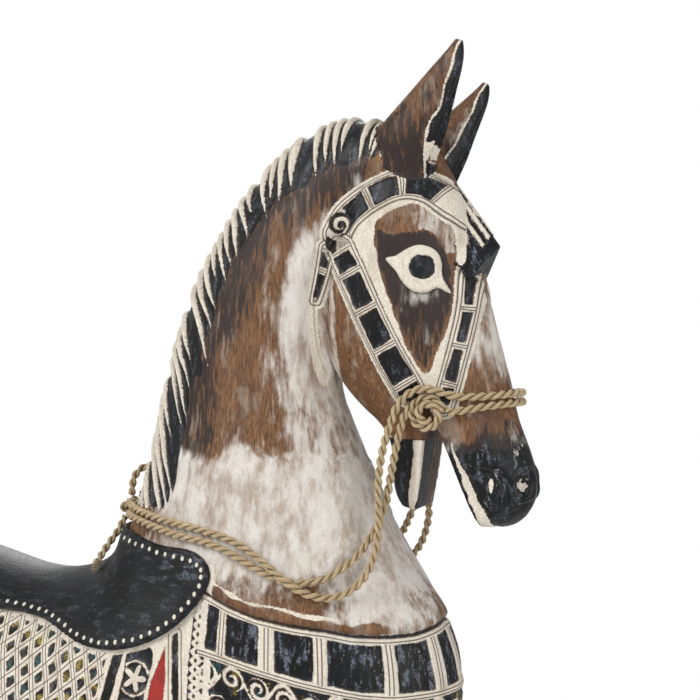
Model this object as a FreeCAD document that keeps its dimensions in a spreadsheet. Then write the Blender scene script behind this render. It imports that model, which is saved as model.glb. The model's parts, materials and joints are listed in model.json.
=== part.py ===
# A carved standing horse with a rope bridle, built from joined wooden blocks.
#
# The horse faces +X, its right side is -Y and its hooves stand on z = 0.  Every block is a loft through
# elliptical stations.  A station is the line between a point on the back outline and a point on the
# front outline of the side view, and half its width.  The blocks are sawn flat where they meet, and
# dowels hold them.

import FreeCAD
import Part
import Sketcher

import math
import os

Vector = FreeCAD.Vector
doc = FreeCAD.newDocument("carved_horse")
sheet = doc.addObject("Spreadsheet::Sheet", "Sizes")

# ---------------------------------------------------------------- driving dimensions, in millimetres
# Stations: back x, back z, front x, front z, half width.
BODY = {
    "rump_tip": (-259, 404, -256, 366, 16),
    "rump": (-247, 434, -243, 328, 46),
    "croup": (-222, 456, -214, 296, 66),
    "loin": (-178, 470, -166, 268, 75),
    "barrel": (-118, 464, -108, 252, 79),
    "seat": (-58, 451, -46, 246, 80),
    "girth": (-12, 458, 24, 246, 80),
    "withers": (10, 476, 104, 258, 78),
    "shoulder": (14, 491, 170, 290, 74),
    "breast": (18, 502, 214, 342, 69),
    "chest": (21, 514, 233, 396, 64),
    "neck_base": (25, 529, 219, 447, 57),
    "neck_low": (31, 552, 194, 489, 50),
    "neck_mid": (38, 586, 171, 538, 44),
    "neck_high": (51, 624, 157, 574, 41),
    "throat": (66, 658, 156, 603, 39),
    "nape": (88, 693, 167, 634, 37),
    "crest": (117, 724, 182, 664, 34),
    "crest_top": (150, 743, 203, 688, 31),
    "poll_end": (184, 743, 222, 704, 25),
}
HEAD = {
    "poll_cap": (184, 738, 206, 738, 9),
    "poll": (164, 716, 217, 727, 23),
    "forehead": (152, 690, 230, 704, 31),
    "brow": (148, 663, 239, 680, 36),
    "eye": (147, 636, 245, 654, 37),
    "cheek": (150, 605, 252, 627, 35),
    "jaw_bend": (162, 580, 259, 601, 31),
    "bridge": (181, 560, 265, 576, 27),
    "muzzle": (191, 538, 272, 551, 25),
    "nostril": (192, 519, 279, 526, 25),
    "lips": (199, 506, 275, 507, 22),
    "lip_end": (211, 500, 260, 498, 13),
}
FRONT_LEG = {
    "elbow_top": (120, 360, 192, 360, 24),
    "elbow": (108, 330, 200, 330, 30),
    "forearm": (112, 300, 196, 300, 30),
    "forearm_mid": (117, 268, 189, 268, 28),
    "forearm_low": (124, 236, 182, 236, 25),
    "above_knee": (130, 206, 177, 206, 21),
    "knee_top": (132, 178, 177, 178, 19),
    "knee": (131, 152, 178, 152, 19),
    "below_knee": (136, 125, 173, 125, 15.5),
    "cannon": (139, 98, 170, 98, 14),
    "fetlock_top": (140, 72, 172, 72, 15),
    "fetlock": (140, 48, 178, 48, 16),
    "coronet": (144, 26, 185, 26, 19),
}
HIND_LEG = {
    "thigh_top": (-232, 374, -156, 374, 27),
    "thigh": (-246, 342, -140, 342, 34),
    "thigh_mid": (-248, 310, -144, 310, 35),
    "stifle": (-248, 278, -152, 278, 33),
    "gaskin_top": (-246, 246, -164, 246, 29),
    "gaskin": (-248, 214, -182, 214, 24),
    "above_hock": (-252, 184, -198, 184, 20),
    "hock": (-254, 155, -206, 155, 18),
    "below_hock": (-249, 127, -210, 127, 16),
    "hind_cannon": (-243, 99, -210, 99, 14),
    "hind_fetlock_top": (-239, 73, -205, 73, 15),
    "hind_fetlock": (-236, 49, -196, 49, 16),
    "hind_coronet": (-230, 26, -188, 26, 19),
}
FRONT_HOOF = {
    "hoof_crown": (142, 28, 188, 28, 20),
    "hoof": (138, 0, 199, 0, 27),
}
HIND_HOOF = {
    "hind_hoof_crown": (-232, 28, -186, 28, 20),
    "hind_hoof": (-236, 0, -175, 0, 27),
}
TAIL = {
    "dock": (-258, 446, -234, 430, 10),
    "tail_root": (-274, 420, -247, 405, 13),
    "tail_bulge": (-279, 370, -249, 366, 14),
    "tail_mid": (-278, 316, -250, 316, 13.5),
    "tail_low": (-277, 262, -253, 262, 11.5),
    "tail_tip": (-274, 212, -262, 212, 5.5),
}
EAR = {  # upright, the open cup facing +X
    "ear_root": (-23, -6, 19, -6, 13),
    "ear_base": (-25, 10, 17, 10, 14.5),
    "ear_swell": (-19, 28, 15, 28, 14),
    "ear_middle": (-13, 45, 12, 45, 10.5),
    "ear_taper": (-7, 62, 9, 62, 6.5),
    "ear_tip": (-2, 78, 3, 78, 2),
}
SIZES = {
    "block": 900,
    "play": 0.1,
    "neck_joint_z": 538,
    "leg_joint_z": 232,
    "jaw_joint_z": 550,
    "jaw_floor_z": 508,
    "head_joint_top_x": 118,
    "head_joint_top_z": 730,
    "head_joint_low_x": 155,
    "head_joint_low_z": 577,
    "mouth_apex_x": 218.5,
    "mouth_apex_z": 574,
    "mouth_back_x": 207.5,
    "mouth_front_x": 256.5,
    "mouth_floor_z": 480,
    "front_leg_y": 41,
    "hind_leg_y": 43,
    "ear_x": 204,
    "ear_y": 17,
    "ear_z": 714,
    "ear_lean": 27,
    "ear_splay": 8,
    "ear_cup_wide": 10,
    "ear_cup_narrow": 2,
    "ear_cup_high": 66,
    "ear_cup_x": 21,
    "ear_cup_z": 8,
    "ear_cup_lean": -10,
    "left_ear_z": 701,
    "left_ear_lean": 29,
    "peak_x": 204.5,
    "peak_z": 697,
    "peak_turn": 54.4,
    "peak_width": 44,
    "peak_ridge": 5,
    "peak_height": 24,
    "peak_length": 57,
    "peak_base": 65.5,
    "saddle_thick": 4.5,
    "cutter_width": 260,
    "rope_dia": 5,
    "cheek_knot_radius": 8,
    "cheek_knot_thick": 4,
    "cheek_knot_x": 221,
    "cheek_knot_y": 30.2,
    "cheek_knot_z": 566,
    "withers_knot_x": 9.5,
    "withers_knot_z": 499,
    "withers_knot_deep": 13,
    "withers_knot_wide": 18,
    "withers_knot_high": 16,
}
# Dowels: diameter, length, and the middle's x, y, z with its turn about +Y from upright.
DOWELS = {
    "neck_front": (12, 64, 128, 0, 538, 0),
    "neck_rear": (12, 64, 74, 0, 538, 0),
    "head_upper": (12, 50, 133, 0, 668, 76.4),
    "head_lower": (12, 50, 146, 0, 614, 76.4),
    "jaw": (8, 30, 199, 0, 550, 0),
    "front_right_leg": (14, 60, 153, -41, 232, 0),
    "front_left_leg": (14, 60, 153, 41, 232, 0),
    "hind_right_leg": (14, 60, -208, -43, 232, 0),
    "hind_left_leg": (14, 60, -208, 43, 232, 0),
    "tail": (9, 40, -244, 0, 418, 75),
    "right_ear": (7, 26, 203, -16, 708, 27),
    "left_ear": (7, 26, 202, 16, 696, 29),
    "peak": (8, 30, 229, 0, 671, 53.5),
}
# The saddle's lower edge in side view, from the pommel forward, round the flap and back to the cantle.
SADDLE_EDGE = {
    "pommel": (-4, 492),
    "pommel_side": (28, 489),
    "pommel_corner": (64, 484),
    "flap_top": (88, 481),
    "flap_front": (97, 471),
    "flap_turn": (91, 454),
    "flap_low": (66, 432),
    "flap_bottom": (32, 421.5),
    "flap_back": (4, 424),
    "girth_rise": (-20, 431),
    "seat_side": (-54, 435),
    "cantle_side": (-92, 437),
    "cantle_flap": (-122, 444),
    "cantle_corner": (-138, 462),
    "cantle_top": (-140, 520),
}


def other_side(route):
    """The same route on the horse's other side."""
    return [(x, -y, z) for x, y, z in route]


# The ropes' routes: straight runs between these points, rounded where they meet.  The outer rein is one
# rope that goes up one side, over the nose and back down the other.
REIN_OUTER_RIGHT = [
    (269.8, -8, 577.8),
    (263, -18.8, 577.2),
    (250, -26.9, 575.8),
    (236, -31.8, 576),
    (222, -33.2, 581.5),
    (210.5, -33.2, 578.5),
    (203, -33.5, 570),
    (199.2, -34.5, 559),
    (195.8, -37, 546),
    (194, -39.5, 531),
    (194.2, -41.5, 515),
    (195.2, -42.5, 501),
    (194, -43.5, 487),
    (190, -45.5, 474),
    (181.5, -51.5, 463.5),
    (170, -58, 459.5),
    (158.5, -65, 462.8),
    (146, -68.8, 470.8),
    (133, -65.4, 479.2),
    (118.7, -62.4, 487.5),
    (105, -61.4, 492.6),
    (87.1, -59.6, 496.2),
    (67.9, -55.6, 498.2),
    (50.2, -48.8, 500.5),
    (31.6, -37, 502.6),
    (19.5, -22.5, 503.5),
    (11.8, -8.3, 501.3),
]
REIN_INNER_RIGHT = [
    (212.5, -30, 572.5),
    (207.5, -30.8, 567),
    (204.8, -32, 557),
    (202, -33.2, 543),
    (199.5, -34, 527),
    (196.5, -34.3, 511),
    (190, -35.5, 496),
    (181, -43.2, 480.5),
    (167, -55.8, 470.5),
    (155, -60.3, 467.8),
    (146, -62.2, 468.6),
    (137, -64.1, 471.3),
    (123.5, -64.6, 477.3),
    (108.5, -63.5, 484.6),
    (94.3, -62, 488.9),
    (75.8, -59.3, 490.8),
    (58.8, -54.2, 493.6),
    (39, -44.2, 496.7),
    (26.7, -34.2, 497.8),
    (17.5, -20.5, 497.2),
    (11.2, -8.2, 496),
]
NOSEBAND_HALF = [
    (231.9, -30, 567),
    (239, -30.5, 567.4),
    (250, -27, 569.8),
    (263, -18.8, 571.6),
    (269.8, -8, 572.4),
]
LOOP = [
    (9, -2.5, 506.4),
    (8.3, -1.5, 512),
    (8.9, 0.5, 519.5),
    (13, 4.5, 525.2),
    (19.5, 10.5, 526.5),
    (22.5, 17, 521),
    (20.5, 19.5, 513),
    (15.5, 13, 509.3),
    (10.6, 4.2, 506),
]
END = [
    (5.5, -4.5, 493.7),
    (4.5, -9, 486.5),
    (0.5, -15, 478),
    (-2.5, -22.5, 469.5),
    (-1.5, -30.5, 465),
]

# On the left the outer rein's free stretch swings a little further forward.
FREE_LEFT = [(196, 39.5, 531), (198.7, 41.5, 515), (201.2, 42.5, 501), (199, 43.5, 487), (193, 45.5, 474)]
FREE_FROM = 9
FREE_TO = FREE_FROM + len(FREE_LEFT)
REIN_OUTER_LEFT = (
    other_side(REIN_OUTER_RIGHT[:FREE_FROM]) + FREE_LEFT + other_side(REIN_OUTER_RIGHT[FREE_TO:])
)
CORDS = {
    "rein_outer": REIN_OUTER_LEFT[::-1] + REIN_OUTER_RIGHT,
    "rein_inner_right": REIN_INNER_RIGHT,
    "rein_inner_left": other_side(REIN_INNER_RIGHT),
    "noseband": NOSEBAND_HALF + other_side(NOSEBAND_HALF)[::-1],
    "rein_loop": LOOP,
    "rein_end": END,
}
ARC_SHARE = 0.45  # of the shorter run at a bend that its arc takes up


def fill_sheet():
    """Writes every driving dimension to the sheet as a plain number with an alias of its own."""
    cells = dict(SIZES)
    tables = [
        (("back_x", "back_z", "front_x", "front_z", "half_width"), family)
        for family in (BODY, HEAD, FRONT_LEG, HIND_LEG, FRONT_HOOF, HIND_HOOF, TAIL, EAR)
    ]
    tables.append((("dowel_dia", "dowel_length", "dowel_x", "dowel_y", "dowel_z", "dowel_turn"), DOWELS))
    tables.append((("edge_x", "edge_z"), SADDLE_EDGE))
    for fields, family in tables:
        for name, numbers in family.items():
            for field, number in zip(fields, numbers):
                cells[f"{name}_{field}"] = number
    for row, (alias, number) in enumerate(cells.items(), start=1):
        sheet.set(f"A{row}", alias)
        sheet.set(f"B{row}", str(number))
        sheet.setAlias(f"B{row}", alias)
    doc.recompute()


# ---------------------------------------------------------------- building blocks of the document
def bind(obj, **expressions):
    """Binds properties of an object to expressions on the sheet."""
    for name, text in expressions.items():
        obj.setExpression(name, text)
    return obj


def placed(middle, axis="0; 1; 0", angle="0"):
    """A placement expression: a point, and a turn about an axis through it."""
    return f"placement(vector({middle}); rotation(vector({axis}); {angle}))"


def station_section(station, grow):
    """The ellipse of one station, widened all round by the expression grow."""
    s = f"Sizes.{station}_"
    depth = f"sqrt(({s}front_x - {s}back_x)^2 + ({s}front_z - {s}back_z)^2) / 2"
    middle = f"({s}front_x + {s}back_x) / 2; 0; ({s}front_z + {s}back_z) / 2"
    turn = f"-atan2({s}front_z - {s}back_z; {s}front_x - {s}back_x)"
    return bind(
        doc.addObject("Part::Ellipse", f"{station}_section"),
        MajorRadius=f"{depth} + {grow}",
        MinorRadius=f"{s}half_width + {grow}",
        Placement=placed(middle, angle=turn),
    )


def loft(name, stations, grow="0"):
    """A closed loft through the stations' ellipses."""
    made = doc.addObject("Part::Loft", name)
    made.Sections = [station_section(s, grow) for s in stations]
    made.Solid = True
    return made


def boolean(kind, name, base, tool):
    """A Part::Cut or Part::Common of two objects."""
    made = doc.addObject(f"Part::{kind}", name)
    made.Base = base
    made.Tool = tool
    return made


def joined(name, *objects):
    """One solid from several that overlap."""
    made = doc.addObject("Part::MultiFuse", name)
    made.Shapes = list(objects)
    return made


def group(name, *objects):
    """Several separate solids in one object."""
    made = doc.addObject("Part::Compound", name)
    made.Links = list(objects)
    return made


def at(name, source, place):
    """A copy of one object, put where a placement expression says."""
    return bind(group(name, source), Placement=place)


def mirrored(name, source):
    """The same solid on the other side of the XZ plane."""
    made = doc.addObject("Part::Mirroring", name)
    made.Source = source
    made.Normal = (0, 1, 0)
    return made


def above(name, middle, angle="0"):
    """A large block standing on the joint plane through middle, which angle tilts about +Y."""
    corner = placed("-Sizes.block / 2; -Sizes.block / 2; 0")
    return bind(
        doc.addObject("Part::Box", name),
        Length="Sizes.block",
        Width="Sizes.block",
        Height="Sizes.block",
        Placement=f"{placed(middle, angle=angle)} * {corner}",
    )


def sketched_prism(name, draw, length):
    """A PartDesign body: an outline drawn in the XZ plane and padded to both sides of it."""
    body = doc.addObject("PartDesign::Body", name)
    sketch = body.newObject("Sketcher::SketchObject", f"{name}_outline")
    plane = next(f for f in body.Origin.OriginFeatures if f.Role == "XZ_Plane")
    sketch.AttachmentSupport = [(plane, "")]
    sketch.MapMode = "FlatFace"
    draw(sketch)
    pad = body.newObject("PartDesign::Pad", f"{name}_pad")
    pad.Profile = sketch
    pad.Midplane = True
    pad.setExpression("Length", length)
    return body


def size(alias):
    """A number of the sheet."""
    return float(sheet.get(alias))


# ---------------------------------------------------------------- dowels and their bores
def dowel(name):
    """A round peg with its middle on a joint, and the bore that it sits in."""
    s = f"Sizes.{name}_dowel_"
    made = []
    for kind, play in (("peg", "0"), ("bore", "Sizes.play")):
        half = f"{s}length / 2 + {play}"
        place = placed(f"{s}x; {s}y; {s}z", angle=f"{s}turn")
        made.append(
            bind(
                doc.addObject("Part::Cylinder", f"{name}_{kind}"),
                Radius=f"{s}dia / 2 + {play}",
                Height=f"2 * ({half})",
                Placement=f"{place} * {placed(f'0; 0; -({half})')}",
            )
        )
    return made


def labelled(made, label):
    """The object as a finished piece: its label names its file."""
    made.Label = label
    return made


def drilled(label, solid, *dowels):
    """The solid with the bores of those dowels, as a finished piece."""
    bores = [bores_of[d] for d in dowels]
    tool = bores[0] if len(bores) == 1 else group(f"{label}_bores", *bores)
    return labelled(boolean("Cut", f"{label}_drilled", solid, tool), label)


# ---------------------------------------------------------------- ropes
def rounded_path(name, route):
    """Straight runs along the route with a tangent arc at each bend, and the path's length."""
    points = [Vector(*p) for p in route]
    edges = []
    radii = []
    start = points[0]
    for before, corner, after in zip(points, points[1:], points[2:]):
        arriving = corner - before
        leaving = after - corner
        cut = ARC_SHARE * min(arriving.Length, leaving.Length)
        turn = arriving.getAngle(leaving)
        radii.append(cut / math.tan(turn / 2))
        arc_start = corner - arriving.normalize() * cut
        arc_end = corner + leaving.normalize() * cut
        inward = (leaving - arriving).normalize()
        sagitta = radii[-1] * (1 / math.cos(turn / 2) - 1)
        edges.append(Part.LineSegment(start, arc_start).toShape())
        edges.append(Part.Arc(arc_start, corner + inward * sagitta, arc_end).toShape())
        start = arc_end
    edges.append(Part.LineSegment(start, points[-1]).toShape())
    path = Part.Wire(edges)
    print(f"{name}: {path.Length:.0f} mm long, arc radii {min(radii):.0f} to {max(radii):.0f} mm")
    return path


def rope(name, route):
    """A round rope along its route."""
    path = rounded_path(name, route)
    radius = size("rope_dia") / 2
    along = Vector(*route[1]) - Vector(*route[0])
    section = Part.Wire(Part.makeCircle(radius, Vector(*route[0]), along))
    made = doc.addObject("Part::Feature", name)
    made.Shape = path.makePipeShell([section], True, True)
    made.Placement = FreeCAD.Placement()
    expected = math.pi * radius**2 * path.Length
    print(f"{name}: volume {made.Shape.Volume:.0f} mm3 against {expected:.0f} mm3 from its length")
    return made


# ---------------------------------------------------------------- outlines
def draw_polygon(sketch, cells):
    """A closed outline whose corners are held at pairs of cells of the sheet."""
    corners = [Vector(size(across), size(up), 0) for across, up in cells]
    for i, corner in enumerate(corners):
        sketch.addGeometry(Part.LineSegment(corner, corners[(i + 1) % len(corners)]))
    for i, (across, up) in enumerate(cells):
        following = (i + 1) % len(corners)
        sketch.addConstraint(Sketcher.Constraint("Coincident", i, 2, following, 1))
        for axis, cell in (("X", across), ("Y", up)):
            index = sketch.addConstraint(Sketcher.Constraint(f"Distance{axis}", -1, 1, i, 1, size(cell)))
            sketch.setExpression(f"Constraints[{index}]", f"Sizes.{cell}")


def draw_mouth(sketch):
    """The wedge sawn out between the jaws: apex at the corner of the mouth, open downwards."""
    draw_polygon(
        sketch,
        [
            ("mouth_apex_x", "mouth_apex_z"),
            ("mouth_back_x", "mouth_floor_z"),
            ("mouth_front_x", "mouth_floor_z"),
        ],
    )


def draw_saddle(sketch):
    """The saddle's side view: a curve along its lower edge, closed by a line over the back."""
    edge = [Vector(size(f"{p}_edge_x"), size(f"{p}_edge_z"), 0) for p in SADDLE_EDGE]
    curve = Part.BSplineCurve()
    curve.interpolate(edge)
    sketch.addGeometry(curve)
    sketch.addGeometry(Part.LineSegment(edge[-1], edge[0]))


# ---------------------------------------------------------------- the wooden blocks
fill_sheet()
pegs_of = {}
bores_of = {}
for dowel_name in DOWELS:
    pegs_of[dowel_name], bores_of[dowel_name] = dowel(dowel_name)

body_form = loft("body_form", BODY)
head_form = loft("head_form", HEAD)
tail_form = loft("tail_form", TAIL)
ear_form = loft("ear_form", EAR)
leg_forms = {}
for place, leg, hoof in (("front", FRONT_LEG, FRONT_HOOF), ("hind", HIND_LEG, HIND_HOOF)):
    whole = joined(f"{place}_leg_form", loft(f"{place}_shank", leg), loft(f"{place}_hoof", hoof))
    leg_forms[place, "right"] = at(f"{place}_right_form", whole, placed(f"0; -Sizes.{place}_leg_y; 0"))
    leg_forms[place, "left"] = mirrored(f"{place}_left_form", leg_forms[place, "right"])
doc.recompute()

neck_joint = above("neck_joint", "0; 0; Sizes.neck_joint_z")
leg_joint = above("leg_joint", "0; 0; Sizes.leg_joint_z")
joint_rise = "Sizes.head_joint_top_z - Sizes.head_joint_low_z"
joint_run = "Sizes.head_joint_low_x - Sizes.head_joint_top_x"
ahead_of_joint = above(
    "ahead_of_joint",
    "Sizes.head_joint_low_x; 0; Sizes.head_joint_low_z",
    f"atan2({joint_rise}; {joint_run})",
)
above_throat = above("above_throat", "0; 0; Sizes.head_joint_low_z")
head_joint = boolean("Common", "head_joint", ahead_of_joint, above_throat)
mouth = sketched_prism("mouth", draw_mouth, "Sizes.cutter_width")
jaw_side = bind(
    doc.addObject("Part::Box", "jaw_side"),
    Length="Sizes.block",
    Width="Sizes.block",
    Height="Sizes.block",
    Placement=placed(
        "Sizes.mouth_apex_x - Sizes.block; -Sizes.block / 2; Sizes.jaw_joint_z - Sizes.block"
    ),
)
above_jaw_floor = above("above_jaw_floor", "0; 0; Sizes.jaw_floor_z")

# Head and lower jaw.
poll_form = boolean("Common", "poll_form", body_form, head_joint)
head_block = joined("head_block", poll_form, head_form)
head_with_mouth = boolean("Cut", "head_with_mouth", head_block, mouth)
peak_form = bind(
    doc.addObject("Part::Wedge", "peak_form"),
    Xmin="0",
    X2min="0",
    Xmax="Sizes.peak_base",
    X2max="Sizes.peak_length",
    Ymin="0",
    Ymax="Sizes.peak_height",
    Zmin="-Sizes.peak_width / 2",
    Zmax="Sizes.peak_width / 2",
    Z2min="-Sizes.peak_ridge / 2",
    Z2max="Sizes.peak_ridge / 2",
    Placement=f"{placed('Sizes.peak_x; 0; Sizes.peak_z', angle='Sizes.peak_turn')} * "
    f"{placed('0; 0; 0', '1; 0; 0', '90')}",
)
ear_cup = bind(
    doc.addObject("Part::Cone", "ear_cup"),
    Radius1="Sizes.ear_cup_wide",
    Radius2="Sizes.ear_cup_narrow",
    Height="Sizes.ear_cup_high",
    Placement=placed("Sizes.ear_cup_x; 0; Sizes.ear_cup_z", angle="Sizes.ear_cup_lean"),
)
cupped_ear = boolean("Cut", "cupped_ear", ear_form, ear_cup)
ear_blocks = {}
for side, sign, turn, start in (("right", "-", "", ""), ("left", "", "-", "left_")):
    place = placed(f"Sizes.ear_x; {sign}Sizes.ear_y; Sizes.{start}ear_z", angle=f"Sizes.{start}ear_lean")
    splay = placed("0; 0; 0", "1; 0; 0", f"{turn}Sizes.ear_splay")
    ear_blocks[side] = at(f"{side}_ear_block", cupped_ear, f"{place} * {splay}")
let_in = group("let_in", peak_form, ear_blocks["right"], ear_blocks["left"])
head_with_sockets = boolean("Cut", "head_with_sockets", head_with_mouth, let_in)
upper_head = boolean("Cut", "upper_head", head_with_sockets, jaw_side)
jaw_form = boolean("Common", "jaw_form", head_with_mouth, jaw_side)
jaw_block = boolean("Common", "jaw_block", jaw_form, above_jaw_floor)
doc.recompute()

# Neck, trunk and saddle.
behind_head = boolean("Cut", "behind_head", body_form, head_joint)
neck_block = boolean("Common", "neck_block", behind_head, neck_joint)
trunk_form = boolean("Cut", "trunk_form", behind_head, neck_joint)
legs_and_trunk = joined("legs_and_trunk", trunk_form, *leg_forms.values())
trunk_block = boolean("Common", "trunk_block", legs_and_trunk, leg_joint)
trunk_with_socket = boolean("Cut", "trunk_with_socket", trunk_block, tail_form)
leg_blocks = {}
for (place, side), form in leg_forms.items():
    leg_blocks[place, side] = boolean("Cut", f"{place}_{side}_leg_block", form, leg_joint)
saddle_side = sketched_prism("saddle_side", draw_saddle, "Sizes.cutter_width")
grown_body = loft("grown_body", BODY, "Sizes.saddle_thick")
saddle_slab = boolean("Common", "saddle_slab", grown_body, saddle_side)
under_saddle = joined("under_saddle", body_form, *leg_forms.values())
saddle_block = boolean("Cut", "saddle_block", saddle_slab, under_saddle)

# Every wooden piece with the bores of its dowels.
LEGS = [(place, side) for place in ("front", "hind") for side in ("right", "left")]
leg_dowel_names = [f"{place}_{side}_leg" for place, side in LEGS]
neck_dowel_names = ["neck_front", "neck_rear"]
head_dowel_names = ["head_upper", "head_lower"]
pieces = [
    drilled("trunk", trunk_with_socket, *neck_dowel_names, "tail", *leg_dowel_names),
    drilled("neck", neck_block, *neck_dowel_names, *head_dowel_names),
    drilled("head", upper_head, *head_dowel_names, "jaw", "right_ear", "left_ear", "peak"),
    drilled("lower_jaw", jaw_block, "jaw"),
    drilled("ear_right", ear_blocks["right"], "right_ear"),
    drilled("ear_left", ear_blocks["left"], "left_ear"),
    drilled("forehead_peak", peak_form, "peak"),
    drilled("tail", tail_form, "tail"),
    labelled(saddle_block, "saddle"),
]
for place, side in LEGS:
    pieces.append(drilled(f"leg_{place}_{side}", leg_blocks[place, side], f"{place}_{side}_leg"))

# The dowels, alike ones together.
pieces += [
    labelled(group("neck_pegs", *(pegs_of[name] for name in neck_dowel_names)), "neck_dowels"),
    labelled(group("head_pegs", *(pegs_of[name] for name in head_dowel_names)), "head_dowels"),
    labelled(group("leg_pegs", *(pegs_of[name] for name in leg_dowel_names)), "leg_dowels"),
    labelled(group("ear_pegs", pegs_of["right_ear"], pegs_of["left_ear"]), "ear_dowels"),
    labelled(pegs_of["jaw"], "jaw_dowel"),
    labelled(pegs_of["tail"], "tail_dowel"),
    labelled(pegs_of["peak"], "peak_dowel"),
]

# ---------------------------------------------------------------- the rope bridle
for side, sign in (("right", "-"), ("left", "")):
    middle = f"Sizes.cheek_knot_x; {sign}Sizes.cheek_knot_y; Sizes.cheek_knot_z"
    on_cheek = placed(middle, "1; 0; 0", "90")
    ring = bind(
        doc.addObject("Part::Torus", f"{side}_knot_ring"),
        Radius1="Sizes.cheek_knot_radius",
        Radius2="Sizes.rope_dia / 2",
        Placement=on_cheek,
    )
    heart = bind(
        doc.addObject("Part::Cylinder", f"{side}_knot_heart"),
        Radius="Sizes.cheek_knot_radius",
        Height="Sizes.cheek_knot_thick",
        Placement=f"{on_cheek} * {placed('0; 0; -Sizes.cheek_knot_thick / 2')}",
    )
    pieces.append(labelled(joined(f"{side}_knot", ring, heart), f"cheek_knot_{side}"))
withers_knot = bind(
    doc.addObject("Part::Ellipsoid", "withers_knot"),
    Radius1="Sizes.withers_knot_high / 2",
    Radius2="Sizes.withers_knot_deep / 2",
    Radius3="Sizes.withers_knot_wide / 2",
    Placement=placed("Sizes.withers_knot_x; 0; Sizes.withers_knot_z"),
)
pieces.append(labelled(withers_knot, "withers_knot"))
for cord_name, route in CORDS.items():
    pieces.append(rope(cord_name, route))


# ---------------------------------------------------------------- checks and export
doc.recompute()
for made in doc.Objects:
    if "Invalid" in made.State or "Error" in made.State:
        raise RuntimeError(f"{made.Label} did not recompute: {made.State}")
for piece in pieces:
    if piece.Shape.isNull() or not piece.Shape.isValid():
        raise RuntimeError(f"{piece.Label} has no valid shape")
os.makedirs("parts", exist_ok=True)
for piece in pieces:
    piece.Shape.exportStep(f"parts/{piece.Label}.step")
    print(f"{piece.Label}: {len(piece.Shape.Solids)} solid(s), {piece.Shape.Volume / 1000:.1f} cm3")
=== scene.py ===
"""A carved and painted wooden horse with a rope bridle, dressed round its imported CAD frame.

The wooden blocks are skinned with fine meshes, carved by height fields and painted by values kept at their
points.  All working numbers are millimetres in the frame of the CAD model: +X is the way the horse faces,
its right side is -Y, +Z is up.  "Side view" means the XZ plane, spots are places in it, and both sides are
carved alike, but for the front of the jaw.
"""

import itertools
import json
import math

import bmesh
import bpy
import numpy as np
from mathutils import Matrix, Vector
from mathutils.bvhtree import BVHTree


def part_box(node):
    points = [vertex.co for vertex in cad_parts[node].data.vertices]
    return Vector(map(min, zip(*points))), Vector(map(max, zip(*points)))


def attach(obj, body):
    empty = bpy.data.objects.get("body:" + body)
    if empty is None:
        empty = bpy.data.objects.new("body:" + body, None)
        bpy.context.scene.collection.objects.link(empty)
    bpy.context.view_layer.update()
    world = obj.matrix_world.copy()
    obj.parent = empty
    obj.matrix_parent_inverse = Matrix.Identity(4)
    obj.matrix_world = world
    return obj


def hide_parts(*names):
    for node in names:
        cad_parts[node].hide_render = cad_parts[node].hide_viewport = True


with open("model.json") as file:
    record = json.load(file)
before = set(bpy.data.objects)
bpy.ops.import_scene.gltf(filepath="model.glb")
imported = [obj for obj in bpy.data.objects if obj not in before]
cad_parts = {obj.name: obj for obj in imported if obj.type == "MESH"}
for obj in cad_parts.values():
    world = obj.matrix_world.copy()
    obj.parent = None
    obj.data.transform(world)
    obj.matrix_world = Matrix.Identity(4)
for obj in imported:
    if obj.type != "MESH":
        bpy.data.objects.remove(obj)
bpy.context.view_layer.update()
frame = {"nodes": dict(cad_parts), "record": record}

MM = 0.001
ROPE = 5.0  # the rope's diameter
STRANDS = 2
LAY = 12.5  # rope length for one full turn of its strands
ROPE_SIDES = 12  # points round each strand
KNOT_TURNS = 1.85  # how often the rope goes round in a cheek knot
FIBRES = 46  # loose fibres at the frayed end
CAP_DEPTH = 4.0  # how far the closing of a carved piece's open end dips under its surface
random = np.random.default_rng(7)


# ------------------------------------------------------------------ numbers on a surface
def smoothstep(low, high, value):
    """0 below low, 1 above high, and an ease between them."""
    part = np.clip((value - low) / (high - low), 0, 1)
    return part * part * (3 - 2 * part)


def lumps(points, across, seed):
    """Smooth random values from -1 to 1, in lumps about that many millimetres across.

    The seed picks the pattern, so each use has a seed of its own."""
    cell = np.asarray(points, float) / across
    base = np.floor(cell).astype(np.int64)
    part = cell - base
    ease = part * part * (3 - 2 * part)
    total = np.zeros(len(cell))
    for corner in itertools.product((0, 1), repeat=3):
        at = base + np.array(corner)
        mixed = (at[:, 0] * 73856093) ^ (at[:, 1] * 19349663) ^ (at[:, 2] * 83492791) ^ (seed * 15485863)
        mixed = (mixed ^ (mixed >> 15)) * 2246822519 & 0xFFFFFFFF
        mixed = (mixed ^ (mixed >> 13)) * 3266489917 & 0xFFFFFFFF
        value = (mixed ^ (mixed >> 16)) / 2**31 - 1
        total += value * np.prod(np.where(np.array(corner) == 1, ease, 1 - ease), axis=1)
    return total


def places(x, y, z=0):
    """Places in rows, from their coordinates; a coordinate may be one number for all of them."""
    return np.column_stack(np.broadcast_arrays(x, y, z))


def travelled(line):
    """How far along a line in space each of its points is."""
    return np.concatenate([[0], np.cumsum(np.linalg.norm(np.diff(line, axis=0), axis=1))])


def curve(points, steps=6, closed=False):
    """A smooth line through a few points, as many short runs."""
    given = np.array(points, float)
    if closed:
        ends = np.vstack([given[-1:], given, given[:2]])
    else:
        ends = np.vstack([2 * given[:1] - given[1:2], given, 2 * given[-1:] - given[-2:-1]])
    out = []
    part = np.arange(steps)[:, None] / steps
    for a, b, c, d in zip(ends, ends[1:], ends[2:], ends[3:]):
        bend = 2 * b + (c - a) * part
        bend = bend + (2 * a - 5 * b + 4 * c - d) * part**2 + (3 * b - a - 3 * c + d) * part**3
        out.append(bend / 2)
    if not closed:
        out.append(given[-1:])
    return np.vstack(out)


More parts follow.
